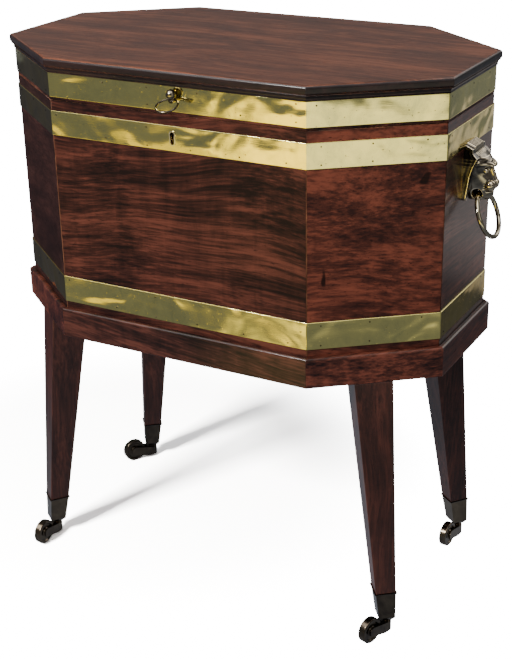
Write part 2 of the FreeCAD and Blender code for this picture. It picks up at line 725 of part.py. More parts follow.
def knob_ring():
    """Drop ring of the knob."""
    pivot = Vector(KNOB_X, KNOB_PIVOT_Y, KNOB_Z)
    wire = KNOB_WIRE_DIAMETER / 2
    return drop_ring(pivot, ALONG_X, ALONG_Y * -1, KNOB_RING_RADIUS, wire, KNOB_REST_TILT)


# Hinges

def hinge_centres():
    """X of the middle of each hinge, set in from the ends of the back board."""
    place = corner(SIDES.index("back"), 0).x - HINGE_INSET - HINGE_LENGTH / 2
    return (-place, place)


def hinge_mortises(bottom, top):
    """Leaf recess and knuckle relief of both hinges, for a board between two levels."""
    tools = []
    for x in hinge_centres():
        low = (x - HINGE_LENGTH / 2, BACK_Y - HINGE_LEAF_WIDTH, bottom)
        tools.append(block(low, (x + HINGE_LENGTH / 2, BACK_Y + OVERCUT, top)))
        start = Vector(x - HINGE_LENGTH / 2, HINGE_Y, HINGE_Z)
        tools.append(rod(start, ALONG_X, HINGE_KNUCKLE_RADIUS + HINGE_RELIEF, HINGE_LENGTH))
    return tools


def hinge_leaf(x, leaf_bottom, spans):
    """One hinge leaf with its knuckles over the given spans, counted from the hinge's start."""
    start_x = x - HINGE_LENGTH / 2
    leaf = block(
        (start_x, BACK_Y - HINGE_LEAF_WIDTH, leaf_bottom),
        (start_x + HINGE_LENGTH, HINGE_Y, leaf_bottom + HINGE_LEAF_THICKNESS),
    )
    axis_start = Vector(start_x, HINGE_Y, HINGE_Z)
    leaf = leaf.cut(rod(axis_start, ALONG_X, HINGE_KNUCKLE_RADIUS + HINGE_RELIEF, HINGE_LENGTH))
    for first, last in spans:
        start = Vector(start_x + first, HINGE_Y, HINGE_Z)
        knuckle = rod(start, ALONG_X, HINGE_KNUCKLE_RADIUS, last - first)
        web_low = (start_x + first, BACK_Y - HINGE_KNUCKLE_RADIUS, leaf_bottom)
        web = block(web_low, (start_x + last, HINGE_Y, leaf_bottom + HINGE_LEAF_THICKNESS))
        leaf = leaf.fuse(knuckle).fuse(web)
    return leaf.cut(rod(axis_start, ALONG_X, HINGE_PIN_RADIUS, HINGE_LENGTH)).removeSplitter()


def body_hinge_leaves():
    """Lower leaves, with the two outer knuckles."""
    third = HINGE_LENGTH / 3
    spans = ((0, third - HINGE_END_GAP), (2 * third + HINGE_END_GAP, HINGE_LENGTH))
    return [hinge_leaf(x, COFFER_TOP_Z - HINGE_LEAF_THICKNESS, spans) for x in hinge_centres()]


def lid_hinge_leaves():
    """Upper leaves, with the middle knuckle bored to run on the pin."""
    third = HINGE_LENGTH / 3
    leaves = []
    for x in hinge_centres():
        leaf = hinge_leaf(x, LID_BASE_Z, ((third, 2 * third),))
        start = Vector(x - HINGE_LENGTH / 2, HINGE_Y, HINGE_Z)
        leaves.append(leaf.cut(rod(start, ALONG_X, HINGE_PIN_RADIUS + HINGE_PIN_CLEARANCE, HINGE_LENGTH)))
    return leaves


def hinge_pins():
    """Hinge pins, tight in the outer knuckles."""
    starts = [Vector(x - HINGE_LENGTH / 2, HINGE_Y, HINGE_Z) for x in hinge_centres()]
    return [rod(start, ALONG_X, HINGE_PIN_RADIUS, HINGE_LENGTH) for start in starts]


# Handles

def at_end(shape, side):
    """Moves a shape made on the right end to the end named by side."""
    if side == SIDES.index("left_end"):
        shape.rotate(Vector(0, 0, 0), UP, 180)
    return shape


def on_mask(place, side_sign=1):
    """Point from its reach, half spacing and height over the mask's foot, on the right end."""
    reach, spacing, height = place
    return Vector(BODY_WIDTH / 2 + reach, side_sign * spacing, MASK_FOOT_Z + height)


def head_section(height, reach, half_width, fullness):
    """Horizontal section of the head: a straight back and a bowed front."""
    cheek = HEAD_BACK + (reach - HEAD_BACK) * fullness
    share = CHEEK_SHARE
    plan = ((HEAD_BACK, 1.0), (cheek, share), (reach, 0.0), (cheek, -share), (HEAD_BACK, -1.0))
    points = [on_mask((x, half_width * across, height)) for x, across in plan]
    front = Part.BSplineCurve()
    front.interpolate(points)
    back = Part.LineSegment(points[-1], points[0])
    return Part.Wire([front.toShape(), back.toShape()])


def mane_front_view():
    """Outline of the mane from the front: sloped shoulders and two lappets with round tips."""
    half, crown, shoulder = MASK_WIDTH / 2, MASK_CROWN_WIDTH / 2, MASK_SHOULDER_HEIGHT
    tip = (half + LAPPET_INNER) / 2
    arch = ((0, LAPPET_NOTCH_HEIGHT + LAPPET_NOTCH), (LAPPET_NOTCH, LAPPET_NOTCH_HEIGHT))
    return flat_face(
        (half, shoulder),
        (crown, MASK_HEIGHT),
        (-crown, MASK_HEIGHT),
        (-half, shoulder),
        (-half, LAPPET_ROUND),
        ((-tip, 0), (-LAPPET_INNER, LAPPET_ROUND)),
        (-LAPPET_NOTCH, LAPPET_NOTCH_HEIGHT),
        arch,
        (LAPPET_INNER, LAPPET_ROUND),
        ((tip, 0), (half, LAPPET_ROUND)),
    )


def mask_hood():
    """Hooded mane: its front view and its side view carried through each other, with a crest."""
    front = mane_front_view()
    front.rotate(Vector(0, 0, 0), UP, 90)
    front.translate(Vector(BODY_WIDTH / 2, 0, MASK_FOOT_Z))
    depth = max(reach for reach, height in HOOD_PROFILE)
    side = flat_face((0, 0), *HOOD_PROFILE, (0, HOOD_PROFILE[-1][1]))
    side.translate(on_mask((0, -MASK_WIDTH / 2, 0)))
    hood = front.extrude(ALONG_X * depth).common(side.extrude(ALONG_Y * MASK_WIDTH))
    crest_front = (CREST_REACH, MASK_HEIGHT - CREST_DROP)
    crest = flat_face((0, CREST_ROOT), (CREST_REACH, CREST_ROOT), crest_front, (0, MASK_HEIGHT))
    crest.translate(on_mask((0, -CREST_WIDTH / 2, 0)))
    return hood.fuse(crest.extrude(ALONG_Y * CREST_WIDTH))


def bar_between(start, end, radius):
    """Round bar with ball ends between two points."""
    bar = rod(start, end - start, radius, (end - start).Length)
    return bar.fuse(Part.makeSphere(radius, start)).fuse(Part.makeSphere(radius, end))


def mask_face():
    """Head with a frowning brow, sunk eyes, nose, muzzle and a parted mouth."""
    face = Part.makeLoft([head_section(*section) for section in HEAD_SECTIONS], True, False)
    for sign in (-1, 1):
        face = face.fuse(bar_between(on_mask(BROW_INNER, sign), on_mask(BROW_OUTER, sign), BROW_RADIUS))
        face = face.cut(Part.makeSphere(EYE_SOCKET_RADIUS, on_mask(EYE_SOCKET_PLACE, sign)))
        face = face.fuse(Part.makeSphere(EYE_RADIUS, on_mask(EYE_PLACE, sign)))
        face = face.fuse(Part.makeSphere(MUZZLE_RADIUS, on_mask(MUZZLE_PLACE, sign)))
    face = face.fuse(bar_between(on_mask(NOSE_ROOT), on_mask(NOSE_TIP), NOSE_BRIDGE_RADIUS))
    face = face.fuse(Part.makeSphere(NOSE_RADIUS, on_mask(NOSE_TIP)))
    low = on_mask((MOUTH_BACK, -MASK_WIDTH / 2, MOUTH_HEIGHT))
    high = on_mask((2 * MOUTH_BACK, MASK_WIDTH / 2, MOUTH_HEIGHT + MOUTH_OPENING))
    return face.cut(block(low, high))


def lion_mask(side):
    """Cast mask with its stud, bored through the mouth for the ring and let over the band."""
    mask = mask_hood().fuse(mask_face())
    pivot = Vector(HANDLE_PIVOT_X, 0, HANDLE_PIVOT_Z)
    bore = ring_bore(pivot, ALONG_Y, HANDLE_RING_RADIUS, HANDLE_WIRE_DIAMETER / 2, HANDLE_BORE_LENGTH / 2)
    mask = mask.cut(bore).cut(ring_band(UPPER_BAND_HEIGHT, UPPER_BAND_Z))
    stud_start = Vector(BODY_WIDTH / 2, 0, MASK_STUD_Z)
    stud = rod(stud_start, ALONG_X * -1, MASK_STUD_DIAMETER / 2, WALL)
    return at_end(mask.fuse(stud), side)


def handle_nut_blank(side):
    """Recess for the mask's nut in the inner face of the end board."""
    inner = BODY_WIDTH / 2 - WALL
    half = MASK_NUT_SIDE / 2
    low = (inner, -half, MASK_STUD_Z - half)
    return at_end(block(low, (inner + MASK_NUT_THICKNESS, half, MASK_STUD_Z + half)), side)


def handle_nut(side):
    """Square nut on the mask's stud."""
    stud = rod(Vector(BODY_WIDTH / 2, 0, MASK_STUD_Z), ALONG_X * -1, MASK_STUD_DIAMETER / 2, WALL)
    return handle_nut_blank(side).cut(at_end(stud, side))


def handle_ring(side):
    """Ring handle in the lion's mouth."""
    pivot = Vector(HANDLE_PIVOT_X, 0, HANDLE_PIVOT_Z)
    wire = HANDLE_WIRE_DIAMETER / 2
    return at_end(drop_ring(pivot, ALONG_Y, ALONG_X, HANDLE_RING_RADIUS, wire, HANDLE_REST_TILT), side)


# Stand

def apron_section(inset):
    """Section of the apron: rounded at the top and foot, with the rebate for the coffer."""
    out, low, top = APRON_OVERHANG, APRON_BOTTOM_Z, APRON_TOP_Z
    foot_cut, top_cut = APRON_FOOT_RADIUS * (1 - math.sqrt(0.5)), APRON_TOP_RADIUS * (1 - math.sqrt(0.5))
    foot_arc = ((out - foot_cut, low + foot_cut), (out, low + APRON_FOOT_RADIUS))
    top_arc = ((out - top_cut, top - top_cut), (out - APRON_TOP_RADIUS, top))
    return flat_face(
        (-inset, low),
        (out - APRON_FOOT_RADIUS, low),
        foot_arc,
        (out, top - APRON_TOP_RADIUS),
        top_arc,
        (REBATE_CLEARANCE, top),
        (REBATE_CLEARANCE, COFFER_BASE_Z),
        (-inset, COFFER_BASE_Z),
    )


def apron_rail(side):
    """Straight rail of the apron, bored from below where a screw goes up into the coffer."""
    rail = mitred_length(apron_section(APRON_RAIL_INSET), side)
    for screw in stand_screws():
        start = Vector(screw.BoundBox.Center.x, screw.BoundBox.Center.y, APRON_BOTTOM_Z)
        rail = rail.cut(screw).cut(rod(start, UP, SCREW_HEAD_DIAMETER / 2, SCREW_COUNTERBORE))
    return rail


def leg_centre(name, z):
    """Point on a leg's middle line at a height."""
    sign_x, sign_y = CORNER_SIGNS[name]
    side = SIDES.index(name)
    middle = (corner(side, 0) + corner(side + 1, 0)) * 0.5
    top = middle + side_normal(side) * (APRON_OVERHANG - LEG_SETBACK - LEG_TOP_SIDE / 2)
    share = (APRON_BOTTOM_Z - z) / LEG_LENGTH
    return top + Vector(sign_x * LEG_SPLAY_X, sign_y * LEG_SPLAY_Y, 0) * share + UP * z


def square_on_leg(name, z, side_length):
    """Square section of a leg or socket, its faces parallel and square to the cant."""
    normal = side_normal(SIDES.index(name))
    across = Vector(-normal.y, normal.x, 0)
    centre = leg_centre(name, z)
    half = side_length / 2
    signs = ((1, 1), (-1, 1), (-1, -1), (1, -1))
    points = [centre + normal * (half * a) + across * (half * b) for a, b in signs]
    return Part.makePolygon(points + points[:1])


def tapered(name, sections):
    """Solid through square sections, each a height and a side length, along a leg's middle line."""
    return Part.makeLoft([square_on_leg(name, z, side) for z, side in sections], True, True)


def leg_tenon(name):
    """Tenon on top of a leg."""
    top = square_on_leg(name, APRON_BOTTOM_Z, LEG_TENON_SIDE)
    return Part.Face(top).extrude(UP * LEG_TENON_HEIGHT)


def leg_tip_sections():
    """End of the leg inside its socket."""
    inside = 2 * SOCKET_WALL
    taper = (LEG_FOOT_SIDE - SOCKET_BASE_SIDE) / (SOCKET_HEIGHT - SOCKET_CHAMFER)
    end_side = LEG_FOOT_SIDE - taper * (SOCKET_HEIGHT - SOCKET_CHAMFER - SOCKET_FLOOR)
    end_z = SOCKET_FOOT_Z + SOCKET_CHAMFER + SOCKET_FLOOR
    return (end_z, end_side - inside), (SOCKET_LIP_Z, LEG_FOOT_SIDE - inside)


def corner_block(name):
    """Cant of the apron, deep enough to take the leg's tenon."""
    return mitred_length(apron_section(CORNER_BLOCK_INSET), SIDES.index(name)).cut(leg_tenon(name))


def leg(name):
    """Square tapered leg, with a tenon at the top and a tip that fits the socket."""
    shaft = tapered(name, ((SOCKET_LIP_Z, LEG_FOOT_SIDE), (APRON_BOTTOM_Z, LEG_TOP_SIDE)))
    return shaft.fuse(leg_tenon(name)).fuse(tapered(name, leg_tip_sections())).removeSplitter()


def castor_pivot(name):
    """Point on the floor under a castor's upright pivot."""
    point = leg_centre(name, SOCKET_FOOT_Z)
    return Vector(point.x, point.y, 0)


def castor_socket(name):
    """Square brass cup on the leg's tip, with a thin lip and a chamfered foot bored for the pivot."""
    base_z = SOCKET_FOOT_Z + SOCKET_CHAMFER
    cup = tapered(name, ((base_z, SOCKET_BASE_SIDE), (SOCKET_LIP_Z, LEG_FOOT_SIDE)))
    foot = tapered(name, ((SOCKET_FOOT_Z, SOCKET_FOOT_SIDE), (base_z, SOCKET_BASE_SIDE)))
    lip_side = LEG_FOOT_SIDE + 2 * SOCKET_LIP_REACH
    lip = tapered(name, ((SOCKET_LIP_Z - SOCKET_LIP_HEIGHT, LEG_FOOT_SIDE), (SOCKET_LIP_Z, lip_side)))
    shell = cup.fuse(foot).fuse(lip).cut(tapered(name, leg_tip_sections()))
    bore_radius = PIVOT_DIAMETER / 2 + PIVOT_CLEARANCE
    start = castor_pivot(name) + UP * SOCKET_FOOT_Z
    return shell.cut(rod(start, UP, bore_radius, SOCKET_CHAMFER + SOCKET_FLOOR)).removeSplitter()


def place_castor(shape, name):
    """Turns a castor piece to its heading and puts it under its leg."""
    shape.rotate(Vector(0, 0, 0), UP, -CASTOR_HEADINGS[name])
    shape.translate(castor_pivot(name))
    return shape


def cheek_face():
    """Side view of the fork: a deep root at the boss and a round end about the axle."""
    root = FORK_WIDTH / 2
    far, z, r = CASTOR_TRAIL, AXLE_Z, FORK_END_RADIUS
    round_end = ((far + r, z), (far, z + r))
    return flat_face((0, BOSS_BOTTOM_Z), (root, BOSS_BOTTOM_Z), (far, z - r), round_end, (0, AXLE_Z))


def castor_horn(name):
    """Fork of the castor: upright boss with a pivot pin, and two cheeks that trail to the wheel."""
    boss = rod(UP * BOSS_BOTTOM_Z, UP, FORK_WIDTH / 2, BOSS_DROP)
    collar = rod(UP * AXLE_Z, UP, COLLAR_DIAMETER / 2, COLLAR_HEIGHT)
    pin_top = SOCKET_FOOT_Z + SOCKET_CHAMFER + SOCKET_FLOOR - PIVOT_GAP
    pin = rod(UP * AXLE_Z, UP, PIVOT_DIAMETER / 2, pin_top - AXLE_Z)
    cheeks = cheek_face()
    cheeks.rotate(Vector(0, 0, 0), UP, -90)
    cheeks.translate(ALONG_X * (-FORK_WIDTH / 2))
    fork = cheeks.extrude(ALONG_X * FORK_WIDTH)
    room = WHEEL_WIDTH / 2 + FORK_GAP
    room_low = (-room, -CASTOR_TRAIL - WHEEL_DIAMETER, 0)
    fork = fork.cut(block(room_low, (room, -FORK_WIDTH / 2, WHEEL_DIAMETER)))
    horn = boss.fuse(collar).fuse(pin).fuse(fork).cut(axle_rod(AXLE_DIAMETER / 2)).removeSplitter()
    return place_castor(horn, name)


def axle_rod(radius):
    """Bar across the fork at the axle, before it is placed."""
    return rod(Vector(-FORK_WIDTH / 2, -CASTOR_TRAIL, AXLE_Z), ALONG_X, radius, FORK_WIDTH)


def castor_axle(name):
    """Axle riveted in the fork's cheeks."""
    return place_castor(axle_rod(AXLE_DIAMETER / 2), name)


def castor_wheel(name):
    """Brass wheel with a rounded tread and dished faces, bored to turn on the axle."""
    radius, half = WHEEL_DIAMETER / 2, WHEEL_WIDTH / 2
    edge, dish = WHEEL_EDGE_RADIUS, WHEEL_DISH_DEPTH
    cut = edge * (1 - math.sqrt(0.5))
    bore, hub, rim = AXLE_DIAMETER / 2 + AXLE_CLEARANCE, WHEEL_HUB_DIAMETER / 2, radius - WHEEL_RIM
    section = flat_face(
        (-half, bore),
        (-half, hub),
        (-half + dish, hub + dish),
        (-half + dish, rim - dish),
        (-half, rim),
        (-half, radius - edge),
        ((-half + cut, radius - cut), (-half + edge, radius)),
        (half - edge, radius),
        ((half - cut, radius - cut), (half, radius - edge)),
        (half, rim),
        (half - dish, rim - dish),
        (half - dish, hub + dish),
        (half, hub),
        (half, bore),
    )
    wheel = turned(section, Vector(0, 0, 0), ALONG_X)
    wheel.translate(Vector(0, -CASTOR_TRAIL, AXLE_Z))
    return place_castor(wheel, name)


def build():
    """Every node of the cellarette, by name."""
    right, left = SIDES.index("right_end"), SIDES.index("left_end")
    nodes = {
        "front_panel": front_panel(),
        "back_panel": back_panel(),
        "right_end_panel": end_panel(right),
        "left_end_panel": end_panel(left),
        "bottom_board": bottom_board(),
        "upper_body_band": upper_body_band(),
        "lower_body_band": ring_band(LOWER_BAND_HEIGHT, LOWER_BAND_Z),
        "keyhole_liner": keyhole_liner(),
        "lock_case": lock_case(),
        "lock_bolt": lock_bolt(),
        "body_hinge_leaves": group(body_hinge_leaves()),
        "lid_hinge_leaves": group(lid_hinge_leaves()),
        "hinge_pins": group(hinge_pins()),
        "metal_liner": metal_liner(),
        "long_dividers": group(long_dividers()),
        "cross_dividers": group(cross_dividers()),
        "right_lion_mask": lion_mask(right),
        "left_lion_mask": lion_mask(left),
        "right_handle_ring": handle_ring(right),
        "left_handle_ring": handle_ring(left),
        "handle_nuts": group([handle_nut(right), handle_nut(left)]),
        "apron_front_rail": apron_rail(SIDES.index("front")),
        "apron_back_rail": apron_rail(SIDES.index("back")),
        "apron_end_rails": group([apron_rail(right), apron_rail(left)]),
        "apron_corner_blocks": group([corner_block(name) for name in CORNER_SIGNS]),
        "stand_screws": group(stand_screws()),
        "lid_top_board": lid_top_board(),
        "lid_cove_moulding": group(lid_cove_moulding()),
        "lid_rim_boards": group(lid_rim_boards()),
        "lid_band": lid_band(),
        "lock_link_plate": lock_link_plate(),
        "lid_knob": lid_knob(),
        "knob_nut": knob_nut(),
        "knob_ring": knob_ring(),
    }
    for name in CORNER_SIGNS:
        nodes[name + "_cant_panel"] = panel(SIDES.index(name))
        nodes[name + "_leg"] = leg(name)
        nodes[name + "_castor_socket"] = castor_socket(name)
        nodes[name + "_castor_horn"] = castor_horn(name)
        nodes[name + "_castor_axle"] = castor_axle(name)
        nodes[name + "_castor_wheel"] = castor_wheel(name)
    return nodes


def main():
    """Writes one STEP file per node."""
    os.makedirs("parts", exist_ok=True)
    for name, shape in build().items():
        shape.translate(ALONG_Y * ORIGIN_SHIFT_Y)
        shape.exportStep("parts/" + name + ".step")
        print(name, "solids", len(shape.Solids), "valid", shape.isValid(), "volume", round(shape.Volume, 1))


main()
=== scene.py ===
"""A brass-bound mahogany cellarette on a castored stand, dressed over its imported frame.

Every size is in metres, in the frame's own axes: +X to the right along the coffer, -Y to the front,
+Z up from the floor. Each sub-assembly is a class that holds its sizes, builds its meshes as arrays
and gives them their finish.
"""
from __future__ import annotations

import json
import logging
import math
from dataclasses import dataclass
from enum import Enum

import bmesh
import bpy
import numpy as np
from mathutils import Matrix, Vector

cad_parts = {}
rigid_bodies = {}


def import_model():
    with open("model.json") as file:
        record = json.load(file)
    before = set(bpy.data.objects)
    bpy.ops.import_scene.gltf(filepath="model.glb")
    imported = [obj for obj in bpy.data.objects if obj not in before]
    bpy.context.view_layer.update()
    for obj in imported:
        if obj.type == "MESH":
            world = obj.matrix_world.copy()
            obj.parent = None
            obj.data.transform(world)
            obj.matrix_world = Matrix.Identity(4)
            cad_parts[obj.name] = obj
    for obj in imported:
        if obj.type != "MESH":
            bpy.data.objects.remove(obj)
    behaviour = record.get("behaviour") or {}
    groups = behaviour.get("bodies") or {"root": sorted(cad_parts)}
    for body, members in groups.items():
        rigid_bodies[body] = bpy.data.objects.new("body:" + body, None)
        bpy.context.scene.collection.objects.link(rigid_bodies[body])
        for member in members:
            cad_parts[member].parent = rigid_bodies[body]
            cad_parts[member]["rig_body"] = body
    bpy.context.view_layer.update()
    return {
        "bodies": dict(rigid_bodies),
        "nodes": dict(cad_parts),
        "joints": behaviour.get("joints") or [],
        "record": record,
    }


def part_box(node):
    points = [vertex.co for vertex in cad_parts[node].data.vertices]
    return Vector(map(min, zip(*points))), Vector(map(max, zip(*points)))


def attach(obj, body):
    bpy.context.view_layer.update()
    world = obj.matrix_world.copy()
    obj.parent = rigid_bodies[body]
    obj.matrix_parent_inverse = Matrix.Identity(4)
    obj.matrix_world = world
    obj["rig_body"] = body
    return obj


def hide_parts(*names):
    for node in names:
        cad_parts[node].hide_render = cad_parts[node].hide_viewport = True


log = logging.getLogger("cellarette")
MM = 0.001
COFFER_BOARD = 18 * MM
FULL_TURN = 2 * math.pi
NODE_SPACING = 190
WHITE = (1.0, 1.0, 1.0, 1.0)
CORNERS = ("front_left", "front_right", "back_right", "back_left")

Socket = bpy.types.NodeSocket
Triple = tuple[float, float, float]


class Grain(Enum):
    """The way a board's grain runs, as the turn in degrees that brings it to the pattern's X.

    The boards of the cants are sawn some 14 degrees across the grain.
    """

    ALONG_FRONT = (0.0, 0.0, 0.0)
    ALONG_END = (0.0, 0.0, -90.0)
    ALONG_RIGHT_CANT = (0.0, 0.0, -51.9)
    ALONG_LEFT_CANT = (0.0, 0.0, 51.9)
    UPRIGHT = (0.0, 90.0, 0.0)


class Finish(Enum):
    """The finishes of the cellarette, by the names of their materials."""

    FRONT = "mahogany_front"
    # Lit and shaded cants: lighter and darker copies of one mahogany, painted light and painted shade.
    LIT_CANT = "mahogany_right_cant"
    SHADED_CANT = "mahogany_left_cant"
    END = "mahogany_end"
    # The lid's top is painted lighter: painted light.
    LID = "mahogany_lid"
    APRON = "mahogany_apron"
    # The apron's corner blocks are painted lighter like the lit cants: painted light.
    APRON_CANT = "mahogany_apron_cant"
    LEG = "mahogany_leg"
    # The shaded rim's dark colours are painted shade.
    SHADED_RIM = "mahogany_rim"
    # Arris finishes are lighter: partly wear, partly painted highlight.
    LID_ARRIS_WEAR_AND_HIGHLIGHT = "mahogany_lid_arris"
    ARRIS_WEAR_AND_HIGHLIGHT = "mahogany_arris"
    BAND = "band_brass"
    CASTING = "cast_brass"
    RING = "ring_brass"
    KNOB = "knob_brass"
    CASTOR = "castor_brass"
    PIN = "pin_brass"
    KEYHOLE = "liner_brass"
    ZINC = "zinc_sheet"
    IRON = "wrought_iron"


class Kind(Enum):
    """The kinds of sockets of a shader group."""

    VECTOR = "NodeSocketVector"
    VALUE = "NodeSocketFloat"
    COLOUR = "NodeSocketColor"


# Node trees


@dataclass(frozen=True)
class Noise:
    """One noise pattern, about 0.5 in the middle.

    Attributes:
        scale: how closely it turns.
        detail: how many finer layers it has.
        rough: weight of the finer layers.
        warp: how far it is distorted.
        stretch: factors on the coordinates, a small one where the pattern is drawn out.
    """

    scale: float
    detail: float = 3.0
    rough: float = 0.55
    warp: float = 0.0
    stretch: Triple = (1.0, 1.0, 1.0)


class Tree:
    """A node tree under construction, with short calls for nodes and links."""

    def __init__(self, tree: bpy.types.NodeTree) -> None:
        """Starts on an emptied tree.

        Args:
            tree: the node tree of a material, a world or a group.
        """
        self.tree = tree
        self.tree.nodes.clear()

    def feed(self, socket: Socket, value: object) -> None:
        """Feeds an input.

        Args:
            socket: the input.
            value: an output to link it to, or a plain value to set on it.
        """
        if isinstance(value, Socket):
            self.tree.links.new(value, socket)
        else:
            socket.default_value = value

    def add(self, kind: str, *inputs: object, **values: object) -> bpy.types.Node:
        """Adds one node.

        Args:
            kind: the node's type name.
            inputs: what its first inputs are fed with, in order.
            values: node properties by name, and inputs by socket name with spaces as underscores.

        Returns:
            The new node.
        """
        node = self.tree.nodes.new(kind)
        node.location = (len(self.tree.nodes) * NODE_SPACING, 0)
        for name, value in values.items():
            if hasattr(node, name):
                setattr(node, name, value)
            else:
                self.feed(node.inputs[name.replace("_", " ")], value)
        for socket, value in zip(node.inputs, inputs):
            self.feed(socket, value)
        return node

    def math(self, operation: str, *inputs: Socket | float) -> Socket:
        """Works out one sum of its inputs, which are sockets or numbers."""
        return self.add("ShaderNodeMath", *inputs, operation=operation).outputs[0]

    def noise(self, vector: Socket, pattern: Noise) -> Socket:
        """Reads a noise pattern.

        Args:
            vector: the place where it is read.
            pattern: the pattern.

        Returns:
            Its value.
        """
        if pattern.stretch != Noise.stretch:
            stretched = self.add("ShaderNodeVectorMath", vector, pattern.stretch, operation="MULTIPLY")
            vector = stretched.outputs[0]
        node = self.add("ShaderNodeTexNoise", Vector=vector, Scale=pattern.scale, Detail=pattern.detail)
        node.inputs["Roughness"].default_value = pattern.rough
        node.inputs["Distortion"].default_value = pattern.warp
        return node.outputs["Fac"]

    def fade(self, value: Socket, limits: tuple, ends: tuple = (0.0, 1.0)) -> Socket:
        """Runs smoothly from one number to another.

        Args:
            value: what drives it.
            limits: the values where it begins and ends.
            ends: what it gives at the two limits.

        Returns:
            The faded value.
        """
        node = self.add("ShaderNodeMapRange", value, *limits, *ends, interpolation_type="SMOOTHSTEP")
        return node.outputs["Result"]

    def distance(self, vector: Socket, point: Triple) -> Socket:
        """Distance of a vector from a point."""
        return self.add("ShaderNodeVectorMath", vector, point, operation="DISTANCE").outputs["Value"]

    def ramp(self, value: Socket, stops: tuple) -> Socket:
        """Runs evenly from stop to stop.

        Args:
            value: what drives it.
            stops: pairs of a place and a grey value.

        Returns:
            The grey value.
        """
        node = self.add("ShaderNodeValToRGB", value)
        elements = node.color_ramp.elements
        while len(elements) < len(stops):
            elements.new(0.5)
        for element, (place, grey) in zip(elements, stops):
            element.position = place
            element.color = (grey, grey, grey, 1.0)
        return node.outputs[0]

    def mix(self, factor: Socket | float, first: Socket | Triple, second: Socket | Triple) -> Socket:
        """Mixes two colours.

        Args:
            factor: share of the second colour.
            first: the first colour, a socket or three numbers.
            second: the second colour, a socket or three numbers.

        Returns:
            The mixed colour.
        """
        node = self.add("ShaderNodeMix", factor, data_type="RGBA")
        colours = [socket for socket in node.inputs if socket.type == "RGBA"]
        for socket, value in zip(colours, (first, second)):
            self.feed(socket, value if isinstance(value, Socket) else (*value, 1.0))
        return node.outputs[2]

    def choose(self, factor: Socket, first: bpy.types.Node, second: bpy.types.Node) -> bpy.types.Node:
        """Mixes two shaders: the first at 0, the second at 1."""
        return self.add("ShaderNodeMixShader", factor, first.outputs[0], second.outputs[0])


def start_group(name: str, inputs: dict[str, Kind], outputs: dict[str, Kind]) -> tuple:
    """Starts a shader group.

    Args:
        name: the group's name.
        inputs: the kind of each input, by its name.
        outputs: the kind of each output, by its name.

    Returns:
        The group, its tree, its input node and its output node.
    """
    group = bpy.data.node_groups.new(name, "ShaderNodeTree")
    tree = Tree(group)
    for side, sockets in (("INPUT", inputs), ("OUTPUT", outputs)):
        for label, kind in sockets.items():
            group.interface.new_socket(label, in_out=side, socket_type=kind.value)
    return group, tree, tree.add("NodeGroupInput"), tree.add("NodeGroupOutput")


def start_material(name: str) -> tuple[bpy.types.Material, Tree, Socket]:
    """Starts a material.

    Args:
        name: the material's name.

    Returns:
        The material, its tree and its Object coordinates.
    """
    material = bpy.data.materials.new(name)
    material.use_nodes = True
    tree = Tree(material.node_tree)
    return material, tree, tree.add("ShaderNodeTexCoord").outputs["Object"]


# Effects


